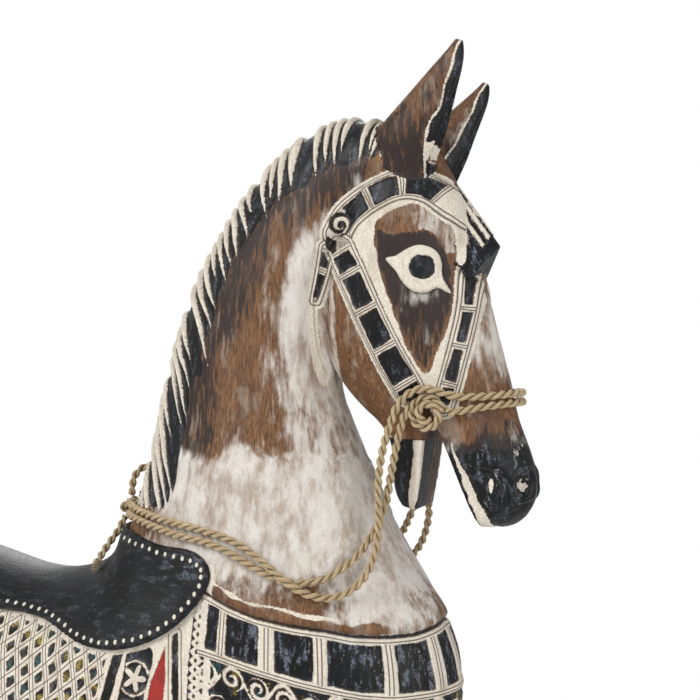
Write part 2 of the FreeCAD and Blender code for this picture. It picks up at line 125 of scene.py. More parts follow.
def beside(spots, line, reach=14.0, closed=False):
    """How far each 2-D spot is from a line (positive on its left), and how far along the line it is.

    Spots further than reach from the line's box are only said to be far away."""
    ends = np.vstack([line, line[:1]]) if closed else line
    start, run = ends[:-1], np.diff(ends, axis=0)
    length = np.hypot(run[:, 0], run[:, 1])
    before = np.concatenate([[0], np.cumsum(length)[:-1]])
    away = np.full(len(spots), 1e3)
    along = np.zeros(len(spots))
    near = np.all((spots > ends.min(0) - reach) & (spots < ends.max(0) + reach), axis=1)
    index = np.flatnonzero(near)
    for chunk in np.array_split(index, max(1, len(index) // 20000)):
        gap = spots[chunk][:, None, :] - start[None]
        part = np.clip((gap * run).sum(2) / length**2, 0, 1)
        off = gap - part[..., None] * run
        squared = (off**2).sum(2)
        best = squared.argmin(1)
        row = np.arange(len(chunk))
        distance = np.sqrt(squared[row, best])
        cross = run[best, 0] * gap[row, best, 1] - run[best, 1] * gap[row, best, 0]
        away[chunk] = np.where(cross >= 0, distance, -distance)
        along[chunk] = before[best] + part[row, best] * length[best]
    return away, along


def off_line(spots, points, reach=14.0):
    """How far each spot is from the smooth line through a few points; positive on the line's left."""
    return beside(spots, curve(points), reach)[0]


def inside(spots, outline, reach=14.0):
    """How far each spot is inside a closed outline; negative outside."""
    away, _ = beside(spots, outline, reach, closed=True)
    depth = np.abs(away)
    x, z = spots[:, 0], spots[:, 1]
    odd = np.zeros(len(spots), bool)
    following = np.roll(outline, -1, axis=0)
    for (ax, az), (bx, bz) in zip(outline, following):
        if az != bz:
            odd ^= ((az > z) != (bz > z)) & (x < (bx - ax) * (z - az) / (bz - az) + ax)
    return np.where(odd, depth, -depth)


def within(spots, points):
    """How far each spot is inside the smooth closed line through a few points; negative outside."""
    return inside(spots, curve(points, closed=True))


def fold(away, width):
    """1 on a line and easing to 0 about twice the width away from it."""
    return np.exp(-(away / width) ** 2)


def to_spiral(far, turn, pitch):
    """How far a place is from a spiral's thread, from its distance and direction from the middle."""
    coil = far - pitch * turn / (2 * np.pi)
    return np.abs(coil - pitch * np.round(coil / pitch))


# ------------------------------------------------------------------ skins
def in_scene(name, data):
    """A new object in the scene that shows the data."""
    made = bpy.data.objects.new(name, data)
    bpy.context.scene.collection.objects.link(made)
    return made


def sides_of(quads):
    """The four sides of every quad, as pairs of points in the quad's own order."""
    return np.vstack([quads[:, [i, (i + 1) % 4]] for i in range(4)])


class Skin:
    """A fine surface that is carved and painted: points in millimetres, quads, and a value per point."""

    def __init__(self, points, quads):
        self.points = points
        self.quads = quads
        self.values = {}

    def edges(self):
        """Every edge once, as its two points in rising order."""
        return np.unique(np.sort(sides_of(self.quads), axis=1), axis=0)

    def average(self, values, times):
        """The values after that many rounds of averaging with the points' neighbours."""
        a, b = self.edges().T
        count = len(self.points)
        share = np.bincount(a, minlength=count) + np.bincount(b, minlength=count)
        wide = values.reshape(count, -1).copy()
        for _ in range(times):
            for column in wide.T:
                total = np.bincount(a, column[b], count) + np.bincount(b, column[a], count)
                column += (total / np.maximum(share, 1) - column) / 2
        return wide.reshape(values.shape)

    def normals(self):
        """The direction out of the surface at each point."""
        corner = self.points[self.quads]
        facing = np.cross(corner[:, 2] - corner[:, 0], corner[:, 3] - corner[:, 1])
        total = np.zeros_like(self.points)
        for column in range(4):
            for axis in range(3):
                total[:, axis] += np.bincount(self.quads[:, column], facing[:, axis], len(self.points))
        return total / np.maximum(np.linalg.norm(total, axis=1, keepdims=True), 1e-12)

    def points_of(self, faces):
        """Which points belong to any of those faces."""
        among = np.zeros(len(self.points), bool)
        among[self.quads[faces].ravel()] = True
        return among

    def part(self, keep):
        """The skin of some of its faces, with their points' values."""
        used, quads = np.unique(self.quads[keep], return_inverse=True)
        made = Skin(self.points[used], quads.reshape(-1, 4))
        made.values = {name: value[used] for name, value in self.values.items()}
        return made


def skin_round(nodes, voxel, calm, cut_below=None):
    """One closed skin round several CAD nodes.  The trunk may be cut off below a height."""
    work = bmesh.new()
    for node in nodes:
        source = frame["nodes"][node].data
        if node == "trunk" and cut_below is not None:
            cut = bmesh.new()
            cut.from_mesh(source)
            bmesh.ops.remove_doubles(cut, verts=cut.verts, dist=1e-6)
            whole = cut.verts[:] + cut.edges[:] + cut.faces[:]
            bmesh.ops.bisect_plane(
                cut, geom=whole, plane_co=(0, 0, cut_below * MM), plane_no=(0, 0, 1), clear_inner=True
            )
            bmesh.ops.holes_fill(cut, edges=[e for e in cut.edges if e.is_boundary], sides=0)
            source = bpy.data.meshes.new("cut_trunk")
            cut.to_mesh(source)
            cut.free()
        work.from_mesh(source)
    mesh = bpy.data.meshes.new("rough_skin")
    work.to_mesh(mesh)
    work.free()
    holder = in_scene("rough_skin", mesh)
    remesh = holder.modifiers.new("Remesh", "REMESH")
    remesh.mode = "VOXEL"
    remesh.voxel_size = voxel * MM
    remesh.adaptivity = 0
    evaluated = holder.evaluated_get(bpy.context.evaluated_depsgraph_get()).to_mesh()
    points = np.empty(len(evaluated.vertices) * 3)
    evaluated.vertices.foreach_get("co", points)
    corners = np.empty(len(evaluated.loops), np.int64)
    evaluated.loops.foreach_get("vertex_index", corners)
    sizes = np.empty(len(evaluated.polygons), np.int64)
    evaluated.polygons.foreach_get("loop_total", sizes)
    holder.to_mesh_clear()
    bpy.data.objects.remove(holder)
    assert (sizes == 4).all(), "the voxel remesh gives quads only"
    skin = Skin(points.reshape(-1, 3) / MM, corners.reshape(-1, 4))
    skin = largest(skin)
    skin.points = skin.average(skin.points, calm)
    return skin


def largest(skin):
    """The skin's largest connected piece."""
    a, b = skin.edges().T
    label = np.arange(len(skin.points))
    while True:
        low = np.minimum(label[a], label[b])
        lower = label.copy()
        np.minimum.at(lower, a, low)
        np.minimum.at(lower, b, low)
        lower = lower[lower]
        if (lower == label).all():
            break
        label = lower
    biggest = np.bincount(label).argmax()
    return skin.part(label[skin.quads[:, 0]] == biggest)


def nearest_node(points, nodes):
    """The index of the CAD node whose surface is nearest to each point."""
    corners, faces, owners = [], [], []
    for index, node in enumerate(nodes):
        mesh = frame["nodes"][node].data
        first = len(corners)
        corners += [v.co / MM for v in mesh.vertices]
        faces += [[first + i for i in p.vertices] for p in mesh.polygons]
        owners += [index] * len(mesh.polygons)
    tree = BVHTree.FromPolygons(corners, faces)
    return np.array([owners[tree.find_nearest(p)[2]] for p in points.tolist()])


def mesh_object(name, skin, material, normals, caps):
    """A Blender object made from a skin, its values kept as attributes.

    With caps, each open end is closed by a rim that dips under the surface and a fan of faces over it."""
    points = skin.points
    faces = skin.quads.tolist()
    source = np.arange(len(points))  # the skin point whose values each point of the mesh has
    for loop in end_caps(skin.quads) if caps else []:
        sunk = points[loop] - CAP_DEPTH * normals[loop]
        first = len(points)
        middle = first + len(loop)
        points = np.vstack([points, sunk, sunk.mean(0)])
        source = np.concatenate([source, loop, loop[:1]])
        for index, a in enumerate(loop):
            following = (index + 1) % len(loop)
            faces.append([a, loop[following], first + following, first + index])
            faces.append([first + index, first + following, middle])
    mesh = bpy.data.meshes.new(name)
    mesh.from_pydata((points * MM).tolist(), [], faces)
    mesh.shade_smooth()
    for label, value in skin.values.items():
        mesh.attributes.new(label, "FLOAT", "POINT").data.foreach_set("value", value[source])
    mesh.normals_split_custom_set_from_vertices(normals[source].tolist())
    mesh.materials.append(material)
    return in_scene(name, mesh)


def end_caps(quads):
    """Each simple loop of open edges, in the order that a face over it takes."""
    known = set(map(tuple, sides_of(quads).tolist()))
    following = {b: a for a, b in known if (b, a) not in known}
    caps = []
    while following:
        start, at = following.popitem()
        loop = [start]
        while at != start and at in following:
            loop.append(at)
            at = following.pop(at)
        if at == start and len(loop) > 2:
            caps.append(loop)
    return caps


# ------------------------------------------------------------------ materials
class Paint:
    """A node material under construction."""

    def __init__(self, name, **surface):
        self.material = bpy.data.materials.new(name)
        self.material.use_nodes = True
        self.tree = self.material.node_tree
        self.tree.nodes.clear()
        output = self.tree.nodes.new("ShaderNodeOutputMaterial")
        self.surface = self.tree.nodes.new("ShaderNodeBsdfPrincipled")
        self.tree.links.new(self.surface.outputs[0], output.inputs["Surface"])
        self.give(self.surface, surface)
        self.place = self.tree.nodes.new("ShaderNodeTexCoord")

    def give(self, node, wanted):
        """Sets a node's inputs: to a value, or linked to another node's output."""
        for name, value in wanted.items():
            socket = node.inputs[name if isinstance(name, int) else name.replace("_", " ")]
            if isinstance(value, bpy.types.NodeSocket):
                self.tree.links.new(value, socket)
            elif isinstance(value, tuple) and len(value) == 3 and socket.type == "RGBA":
                socket.default_value = (*value, 1)
            else:
                socket.default_value = value

    def node(self, kind, settings, inputs):
        """A new shader node with those settings and inputs."""
        made = self.tree.nodes.new(f"ShaderNode{kind}")
        for name, value in settings.items():
            setattr(made, name, value)
        self.give(made, inputs)
        return made

    def value(self, name):
        """A number that the mesh keeps at its points."""
        return self.node("Attribute", {"attribute_name": name}, {}).outputs["Fac"]

    def math(self, operation, a, b=0.0):
        """One arithmetic step on numbers or outputs."""
        return self.node("Math", {"operation": operation}, {0: a, 1: b}).outputs[0]

    def add(self, a, b):
        """The sum of two numbers or outputs."""
        return self.math("ADD", a, b)

    def times(self, a, b):
        """The product of two numbers or outputs."""
        return self.math("MULTIPLY", a, b)

    def size(self, a):
        """A number or output without its sign."""
        return self.math("ABSOLUTE", a)

    def between(self, value, low, high, to_low=0.0, to_high=1.0):
        """An ease from to_low to to_high while the value goes from low to high."""
        settings = {"interpolation_type": "SMOOTHSTEP"}
        inputs = {"Value": value, "From Min": low, "From Max": high, "To Min": to_low, "To Max": to_high}
        return self.node("MapRange", settings, inputs).outputs["Result"]

    def mix(self, share, a, b):
        """Colour a, with that share of colour b."""
        made = self.node("Mix", {"data_type": "RGBA"}, {})
        self.give(made, {0: share, 6: a, 7: b})
        return made.outputs[2]

    def tint(self, base, value, low, high, share, colour):
        """The base colour, with up to that share of another where the value goes from low to high."""
        return self.mix(self.between(value, low, high, 0.0, share), base, colour)

    def noise(self, size, stretch=(1, 1, 1), detail=3.0, rough=0.55, source="Object", offset=0.0):
        """Noise from 0 to 1 in lumps about size millimetres across, drawn out along an axis by stretch."""
        scale = tuple(1 / (size * MM * s) for s in stretch)
        mapping = self.node(
            "Mapping", {}, {"Vector": self.place.outputs[source], "Scale": scale, "Location": (offset,) * 3}
        )
        inputs = {"Vector": mapping.outputs[0], "Scale": 1.0, "Detail": detail, "Roughness": rough}
        return self.node("TexNoise", {}, inputs).outputs["Fac"]

    def finish(self, colour, rough, relief, depth, strength):
        """Gives the surface its colour, roughness and fine relief, so many millimetres deep; the material."""
        bump = self.node("Bump", {}, {"Height": relief, "Distance": depth * MM, "Strength": strength})
        self.give(self.surface, {"Base_Color": colour, "Roughness": rough, "Normal": bump.outputs[0]})
        return self.material


def rope_material():
    """Dry straw-coloured fibre, with painted shade between the strands."""
    paint = Paint("rope_fibre", Sheen_Weight=0.25, Sheen_Roughness=0.6, Sheen_Tint=(0.9, 0.8, 0.6))
    depth = paint.value("depth")
    fibre = paint.noise(0.35, stretch=(14, 1, 1), source="UV")
    streak = paint.noise(0.9, stretch=(8, 1, 1), source="UV", offset=3.0)
    blotch = paint.noise(22, detail=2.0)
    straw = paint.mix(paint.between(fibre, 0.3, 0.7), (0.25, 0.165, 0.080), (0.55, 0.43, 0.25))
    straw = paint.tint(straw, streak, 0.52, 0.75, 0.75, (0.70, 0.59, 0.39))
    straw = paint.tint(straw, blotch, 0.35, 0.7, 0.35, (0.36, 0.24, 0.12))
    # Painted shade: fibre that lies deep between the strands is darkened.
    dark = paint.between(depth, 0.72, 0.30, 0.0, 0.88)
    straw = paint.mix(dark, straw, (0.075, 0.042, 0.018))
    return paint.finish(straw, paint.between(fibre, 0.2, 0.8, 0.55, 0.8), fibre, 0.25, 0.9)


ROPE_FIBRE = rope_material()


# ------------------------------------------------------------------ the rope bridle
REIN_OUTER_RIGHT = [
    (269.8, -8, 577.8), (263, -18.8, 577.2), (250, -26.9, 575.8), (236, -31.8, 576), (222, -33.2, 581.5),
    (210.5, -33.2, 578.5), (203, -33.5, 570), (199.2, -34.5, 559), (195.8, -37, 546), (194, -39.5, 531),
    (194.2, -41.5, 515), (195.2, -42.5, 501), (194, -43.5, 487), (190, -45.5, 474), (181.5, -51.5, 463.5),
    (170, -58, 459.5), (158.5, -65, 462.8), (146, -68.8, 470.8), (133, -65.4, 479.2),
    (118.7, -62.4, 487.5), (105, -61.4, 492.6), (87.1, -59.6, 496.2), (67.9, -55.6, 498.2),
    (50.2, -48.8, 500.5), (31.6, -37, 502.6), (19.5, -22.5, 503.5), (11.8, -8.3, 501.3),
]
REIN_INNER_RIGHT = [
    (212.5, -30, 572.5), (207.5, -30.8, 567), (204.8, -32, 557), (202, -33.2, 543), (199.5, -34, 527),
    (196.5, -34.3, 511), (190, -35.5, 496), (181, -43.2, 480.5), (167, -55.8, 470.5), (155, -60.3, 467.8),
    (146, -62.2, 468.6), (137, -64.1, 471.3), (123.5, -64.6, 477.3), (108.5, -63.5, 484.6),
    (94.3, -62, 488.9), (75.8, -59.3, 490.8), (58.8, -54.2, 493.6), (39, -44.2, 496.7),
    (26.7, -34.2, 497.8), (17.5, -20.5, 497.2), (11.2, -8.2, 496),
]
NOSEBAND_HALF = [
    (231.9, -30, 567), (239, -30.5, 567.4), (250, -27, 569.8), (263, -18.8, 571.6), (269.8, -8, 572.4),
]
LOOP = [
    (9, -2.5, 506.4), (8.3, -1.5, 512), (8.9, 0.5, 519.5), (13, 4.5, 525.2), (19.5, 10.5, 526.5),
    (22.5, 17, 521), (20.5, 19.5, 513), (15.5, 13, 509.3), (10.6, 4.2, 506),
]
END = [
    (5.5, -4.5, 493.7), (4.5, -9, 486.5), (0.5, -15, 478), (-2.5, -22.5, 469.5), (-1.5, -30.5, 465),
]
# On the left the outer rein's free stretch, from its tenth place on, swings a little further forward.
FREE_LEFT = [(196, 39.5, 531), (198.7, 41.5, 515), (201.2, 42.5, 501), (199, 43.5, 487), (193, 45.5, 474)]
FREE_FROM = 9


def other_side(route):
    """The same route on the horse's other side."""
    return [(x, -y, z) for x, y, z in route]


def centreline(route, spacing=0.8):
    """Points in millimetres, a fixed spacing apart, along the smooth spline of a route."""
    data = bpy.data.curves.new("route", "CURVE")
    data.dimensions = "3D"
    spline = data.splines.new("NURBS")
    spline.points.add(len(route) - 1)
    for point, place in zip(spline.points, route):
        point.co = (*place, 1)
    spline.order_u = 3
    spline.use_endpoint_u = True
    spline.resolution_u = 24
    holder = in_scene("route", data)
    line = bpy.data.meshes.new_from_object(holder.evaluated_get(bpy.context.evaluated_depsgraph_get()))
    points = np.array([v.co for v in line.vertices])
    bpy.data.objects.remove(holder)
    reached = travelled(points)
    steps = np.linspace(0, reached[-1], max(8, round(reached[-1] / spacing)) + 1)
    return np.column_stack([np.interp(steps, reached, points[:, axis]) for axis in range(3)])


def carried_frame(line):
    """Directions along and across a line, turned as little as possible from point to point."""
    along = np.gradient(line, axis=0)
    along /= np.linalg.norm(along, axis=1, keepdims=True)
    across = np.empty_like(line)
    first = np.cross(along[0], (0.3, 0.2, 1.0))
    for i, direction in enumerate(along):
        first = first - direction * (first @ direction)
        first = first / np.linalg.norm(first)
        across[i] = first
    return along, across, np.cross(along, across)


def rope_piece(name, vertices, faces, depths, mapped=None):
    """A piece of rope fibre.  depths say how far out in the rope each point is, mapped where along it."""
    mesh = bpy.data.meshes.new(name)
    mesh.from_pydata((vertices * MM).tolist(), [], faces)
    mesh.shade_smooth()
    mesh.attributes.new("depth", "FLOAT", "POINT").data.foreach_set("value", depths)
    along = mesh.uv_layers.new(name="along")
    if mapped is not None:
        corners = np.empty(len(mesh.loops), np.int64)
        mesh.loops.foreach_get("vertex_index", corners)
        along.data.foreach_set("uv", (mapped * MM)[corners].ravel())
    mesh.materials.append(ROPE_FIBRE)
    made = in_scene(name, mesh)
    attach(made, "root")
    return made


def laid_rope(name, line):
    """A rope of twisted strands along a line, as one mesh."""
    _, across, upward = carried_frame(line)
    reached = travelled(line)
    helix = ROPE * 0.235
    strand = ROPE * 0.275
    taper = smoothstep(0, 1.6, np.minimum(reached, reached[-1] - reached) + 0.35)
    vertices, faces, depths, mapped = [], [], [], []
    around = np.arange(ROPE_SIDES) * 2 * np.pi / ROPE_SIDES
    for k in range(STRANDS):
        turn = 2 * np.pi * k / STRANDS - 2 * np.pi * reached / LAY
        uneven = lumps(places(reached, 40.0 * k), 7.0, 3 + k)
        radius = strand * (1 + 0.07 * uneven) * taper
        middle = line + helix * (np.cos(turn)[:, None] * across + np.sin(turn)[:, None] * upward)
        first = sum(len(v) for v in vertices)
        ring = (
            middle[:, None]
            + radius[:, None, None] * np.cos(around)[None, :, None] * across[:, None]
            + radius[:, None, None] * np.sin(around)[None, :, None] * upward[:, None]
        )
        vertices.append(ring.reshape(-1, 3))
        depths.append((np.linalg.norm(ring - line[:, None], axis=2) / (ROPE / 2)).ravel())
        index = first + np.arange(len(line) * ROPE_SIDES).reshape(-1, ROPE_SIDES)
        low, high = index[:-1], index[1:]
        quads = np.stack([low, np.roll(low, -1, 1), np.roll(high, -1, 1), high], axis=-1)
        faces += quads.reshape(-1, 4).tolist()
        faces += [index[0][::-1].tolist(), index[-1].tolist()]
        place = np.broadcast_arrays(reached[:, None], around * radius.mean() + 40 * k)
        mapped.append(np.stack(place, -1).reshape(-1, 2))
    return rope_piece(name, np.vstack(vertices), faces, np.concatenate(depths), np.vstack(mapped))


def cheek_knot(side):
    """The rope coiled on itself at the corner of the mouth, open in the middle, its end tucked under."""
    low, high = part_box(f"cheek_knot_{side}")
    middle = np.array((low + high) / 2) / MM
    outward = -1 if side == "right" else 1
    turn = np.linspace(0, KNOT_TURNS * 2 * np.pi, 25)
    part = turn / turn[-1]
    radius = 9.9 - 5.2 * smoothstep(0.2, 0.85, part)
    swell = 0.4 + 3.0 * smoothstep(0.3, 0.8, part) - 4.0 * smoothstep(0.88, 1, part)
    start = 0.1
    coil = [radius * np.cos(start + turn), outward * swell, radius * np.sin(start + turn)]
    knot = laid_rope(f"coiled_knot_{side}", centreline((middle + np.column_stack(coil)).tolist(), 0.6))
    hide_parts(f"cheek_knot_{side}")
    return knot


def tied_knot():
    """The reins tied together behind the mane: a trefoil pulled tight."""
    low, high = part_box("withers_knot")
    middle = np.array((low + high) / 2) / MM
    room = np.array(high - low) / MM / 2 - ROPE / 2 + 0.9
    turn = np.linspace(0, 2 * np.pi, 25)
    rounds = np.sin(turn) + 2 * np.sin(2 * turn)
    shape = np.column_stack([np.sin(3 * turn), rounds, np.cos(turn) - 2 * np.cos(2 * turn)])
    shape /= np.abs(shape).max(0)
    knot = laid_rope("tied_knot", centreline((middle + shape * room).tolist(), 0.6))
    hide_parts("withers_knot")
    return knot


def frayed_end(line):
    """Loose fibres where the free end's strands come undone."""
    along, across, upward = carried_frame(line)
    tip, heading = line[-1], along[-1]
    vertices, faces = [], []
    sides = 5
    for _ in range(FIBRES):
        angle = random.uniform(0, 2 * np.pi)
        spread = random.uniform(0.1, 1.0)
        sideways = np.cos(angle) * across[-1] + np.sin(angle) * upward[-1]
        root = tip - heading * 3.0 + sideways * spread * 1.9
        length = random.uniform(4.0, 10.0)
        thick = random.uniform(0.12, 0.26)
        curl = random.normal(0, 0.25, 3) + np.array([0, 0, -0.25])
        previous = None
        for part in np.linspace(0, 1, 6):
            spot = root + heading * length * part + sideways * spread * 2.6 * part**1.6 + curl * 3.0 * part**2
            ring = [
                spot + thick * (1.05 - part) * (np.cos(a) * across[-1] + np.sin(a) * upward[-1])
                for a in np.arange(sides) * 2 * np.pi / sides
            ]
            first = len(vertices)
            vertices += ring
            current = [first + i for i in range(sides)]
            if previous is None:
                faces.append(current[::-1])
            else:
                for i in range(sides):
                    j = (i + 1) % sides
                    faces.append([previous[i], previous[j], current[j], current[i]])
            previous = current
        faces.append(previous)
    return rope_piece("frayed_fibres", np.array(vertices), faces, np.full(len(vertices), 0.9))


def cord(name, node, route, far_end="knot", with_pieces=()):
    """A rope along a route that stands for a CAD node.  A bare end is frayed."""
    line = centreline(route)
    rope = laid_rope(name, line)
    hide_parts(node)
    [frayed_end(line)] if far_end == "bare" else with_pieces


def bridle():
    """All the ropes and knots."""
    knots = {side: cheek_knot(side) for side in ("right", "left")}
    withers = tied_knot()
    free_end = FREE_FROM + len(FREE_LEFT)
    outer_left = other_side(REIN_OUTER_RIGHT)
    outer_left[FREE_FROM:free_end] = FREE_LEFT
    outer_route = outer_left[::-1] + REIN_OUTER_RIGHT
    cord("outer_rein", "rein_outer", outer_route, with_pieces=[withers])
    for side, route in (("right", REIN_INNER_RIGHT), ("left", other_side(REIN_INNER_RIGHT))):
        cord(f"inner_rein_{side}", f"rein_inner_{side}", route, with_pieces=[knots[side]])
    cord("nose_rope", "noseband", NOSEBAND_HALF + other_side(NOSEBAND_HALF)[::-1])
    cord("rope_loop", "rein_loop", LOOP)
    cord("rope_end", "rein_end", END, far_end="bare")


bridle()


# ------------------------------------------------------------------ carved and painted wood
def carved_wood(name, grain=(1, 1, 0.12), cloth=False):
    """Stained wood with a chalky wash, black and cream paint and incised lines, by the skin's values.

    black, cream and line are distances in millimetres inside painted areas, rim and bar are distances
    from incised lines, and wash, dark, scuffs and the hollows' depth say how strong each is.  The hollows are
    darkened as painted shade, and the outer line of a raised strap's rim is a painted shadow at its foot.  A
    cloth also has a lattice, red paint and dabs of gold and green."""
    paint = Paint(name, Specular_IOR_Level=0.28)
    stretch = tuple(1 / g for g in grain)
    broad_stretch = tuple(1 + 0.25 * (s - 1) for s in stretch)
    fibre = paint.noise(0.8, stretch=stretch, detail=4.0, rough=0.65)
    streak = paint.noise(2.6, stretch=stretch, detail=4.0, rough=0.6, offset=2.0)
    broad = paint.noise(17, stretch=broad_stretch, detail=3.0, offset=5.0)
    crumb = paint.noise(1.3, detail=5.0, rough=0.7, offset=7.0)
    smear = paint.noise(4.5, stretch=broad_stretch, detail=5.0, rough=0.62, offset=8.0)
    cloud = paint.noise(14, stretch=(1, 1, 2.2), detail=5.0, rough=0.6, offset=9.0)
    vein = paint.noise(7, stretch=broad_stretch, detail=3.0, rough=0.5, offset=11.0)

    wood = paint.mix(paint.between(fibre, 0.32, 0.68), (0.072, 0.034, 0.015), (0.225, 0.108, 0.046))
    wood = paint.tint(wood, streak, 0.50, 0.74, 0.7, (0.33, 0.170, 0.078))
    wood = paint.tint(wood, broad, 0.42, 0.66, 0.55, (0.085, 0.036, 0.020))
    soot = paint.add(paint.value("dark"), paint.between(streak, 0.3, 0.7, -0.30, 0.30))
    in_soot = paint.between(soot, 0.35, 0.75, 0.0, 0.93)
    wood = paint.mix(in_soot, wood, (0.018, 0.014, 0.015))

    haze = paint.add(paint.between(cloud, 0.40, 0.66), paint.add(paint.value("wash"), -0.75))
    in_haze = paint.between(haze, 0.0, 0.6, 0.0, 0.45)
    in_haze = paint.times(in_haze, paint.between(in_soot, 0.0, 0.9, 1.0, 0.22))
    wood = paint.mix(in_haze, wood, (0.33, 0.27, 0.22))
    worn = paint.add(paint.times(smear, 0.36), paint.times(cloud, 0.30))
    worn = paint.add(paint.times(streak, 0.34), worn)
    cover = paint.add(worn, paint.add(paint.value("wash"), -1.0))
    chalk = paint.mix(paint.between(cloud, 0.40, 0.60), (0.42, 0.345, 0.285), (0.64, 0.605, 0.555))
    chalk = paint.tint(chalk, smear, 0.42, 0.66, 0.6, (0.74, 0.715, 0.67))
    chalk = paint.tint(chalk, crumb, 0.52, 0.75, 0.35, (0.42, 0.34, 0.28))
    wood = paint.tint(wood, cover, -0.10, 0.15, 0.92, chalk)
    crack = paint.size(paint.add(vein, -0.5))
    wood = paint.tint(wood, crack, 0.010, 0.003, 0.20, (0.085, 0.050, 0.036))

    ragged = paint.between(crumb, 0.2, 0.8, -0.8, 0.8)
    in_black = paint.between(paint.add(paint.value("black"), ragged), -0.25, 0.35)
    rubbed = paint.add(paint.times(streak, 0.5), paint.times(crumb, 0.5))
    scuff = paint.between(rubbed, 0.57, 0.70, 0.0, 0.34)
    lacquer = paint.mix(paint.between(cloud, 0.4, 0.7), (0.0022, 0.0023, 0.0028), (0.0075, 0.0085, 0.0115))
    rubbed_patch = paint.between(smear, 0.52, 0.64, 0.0, 0.65)
    rubbed_patch = paint.times(rubbed_patch, paint.between(crumb, 0.35, 0.65))
    lacquer = paint.mix(paint.times(rubbed_patch, paint.value("scuffs")), lacquer, (0.125, 0.140, 0.175))
    lacquer = paint.mix(paint.times(scuff, paint.value("scuffs")), lacquer, (0.55, 0.55, 0.55))
    colour = paint.mix(in_black, wood, lacquer)
    if cloth:
        in_red = paint.between(paint.add(paint.value("red"), ragged), -0.25, 0.35)
        red = paint.tint((0.34, 0.026, 0.020), streak, 0.45, 0.7, 0.7, (0.10, 0.016, 0.014))
        colour = paint.mix(in_red, colour, red)
        dabs = paint.times(in_black, paint.between(crumb, 0.42, 0.58))
        for name, share, dab in (("gold", 0.75, (0.50, 0.36, 0.035)), ("green", 0.70, (0.020, 0.115, 0.120))):
            colour = paint.mix(paint.times(dabs, paint.times(paint.value(name), share)), colour, dab)

    in_cream = paint.between(paint.add(paint.value("cream"), paint.times(ragged, 0.6)), -0.2, 0.3)
    filler = paint.mix(paint.between(crumb, 0.35, 0.7), (0.60, 0.53, 0.43), (0.78, 0.73, 0.64))
    filler = paint.tint(filler, streak, 0.52, 0.70, 0.40, (0.44, 0.37, 0.30))
    filler = paint.tint(filler, cloud, 0.52, 0.72, 0.40, (0.36, 0.27, 0.19))
    colour = paint.mix(in_cream, colour, filler)
    to_rim = paint.size(paint.value("rim"))
    nearest = paint.math("MINIMUM", to_rim, paint.size(paint.value("bar")))
    incised = paint.math("MAXIMUM", paint.value("line"), paint.math("SUBTRACT", 0.34, nearest))
    if cloth:
        incised = paint.math("MAXIMUM", incised, lattice_lines(paint))
    # Dark incised lines.  Along raised straps, the rim's outer line is a painted shadow at the band's foot.
    in_line_and_shadow = paint.between(paint.add(incised, paint.times(ragged, 0.18)), -0.12, 0.16, 0.0, 0.86)
    colour = paint.mix(in_line_and_shadow, colour, (0.060, 0.042, 0.030))
    # Painted shade: the hollows of the carving are darkened, and the deeper ones are darker.
    in_hollow_shade = paint.between(paint.value("hollow_shade"), 0.10, 0.6, 0.0, 0.55)
    colour = paint.mix(in_hollow_shade, colour, (0.035, 0.028, 0.024))

    gloss = paint.between(in_black, 0.0, 1.0, 0.52, 0.42)
    gloss = paint.add(gloss, paint.times(in_cream, 0.16))
    gloss = paint.add(gloss, paint.between(fibre, 0.2, 0.8, -0.05, 0.08))
    relief = paint.add(paint.times(fibre, 0.35), paint.times(streak, 0.5))
    relief = paint.add(relief, paint.times(crumb, paint.add(0.25, paint.times(in_cream, 0.5))))
    relief = paint.add(relief, paint.times(in_line_and_shadow, -0.9))
    return paint.finish(colour, gloss, relief, 0.45, 0.8)


def lattice_lines(paint):
    """How far inside the cloth's incised lines a place is: single lines one way, double ones the other."""
    near_a = paint.add(paint.math("FRACT", paint.value("weave_a")), -0.5)
    near_b = paint.add(paint.math("FRACT", paint.value("weave_b")), -0.5)
    line_a = paint.math("SUBTRACT", 0.036, paint.size(near_a))
    double_b = paint.add(paint.size(near_b), -0.11)
    line_b = paint.math("SUBTRACT", 0.028, paint.size(double_b))
    lines = paint.times(paint.math("MAXIMUM", line_a, line_b), 10.0)
    return paint.math("MINIMUM", lines, paint.add(paint.value("cloth"), -1.0))


UPRIGHT_WOOD = carved_wood("carved_wood_upright")
LENGTHWISE_WOOD = carved_wood("carved_wood_lengthwise", grain=(0.12, 1, 1))
CLOTH_WOOD = carved_wood("carved_wood_caparison", cloth=True)

OUTSIDE = -9.0  # a distance in millimetres that is far outside every area
NO_PAINT = {"black": OUTSIDE, "cream": OUTSIDE, "line": OUTSIDE, "rim": -OUTSIDE, "bar": -OUTSIDE}
BARE_WOOD = NO_PAINT | {
    "red": OUTSIDE, "wash": 0.25, "dark": 0.0, "scuffs": 1.0, "hollow_shade": 0.0, "gold": 0.0, "green": 0.0,
    "weave_a": 0.0, "weave_b": 0.0, "cloth": OUTSIDE,
}


def blank_paint(skin):
    """Bare stained wood everywhere."""
    for label, value in BARE_WOOD.items():
        skin.values[label] = np.full(len(skin.points), value)


def only(where, value):
    """The distances inside an area where it may be, and far outside it everywhere else."""
    return np.where(where, value, OUTSIDE)


def over(skin, label, value, where=True):
    """Adds a painted area to what is already painted."""
    skin.values[label] = np.maximum(skin.values[label], only(where, value))


def without(skin, label, value):
    """Takes an area out of what is already painted."""
    skin.values[label] = np.minimum(skin.values[label], -value)


def repaint(skin, old, new, value):
    """Paints an area and takes away what was painted there, up to a hair beyond it."""
    without(skin, old, value + 0.1)
    over(skin, new, value)


def put(skin, label, value, where):
    """Sets the values of some places."""
    skin.values[label] = np.where(where, value, skin.values[label])


def blob(spots, middle, across, upward):
    """1 at the middle, easing to 0 about across to either side and upward above and below."""
    gap = (spots - np.array(middle)) / np.array([across, upward])
    return np.exp(-1.2 * (gap**2).sum(1))


BAR_HALF = 1.7  # half the width of the bars between a strap's tiles


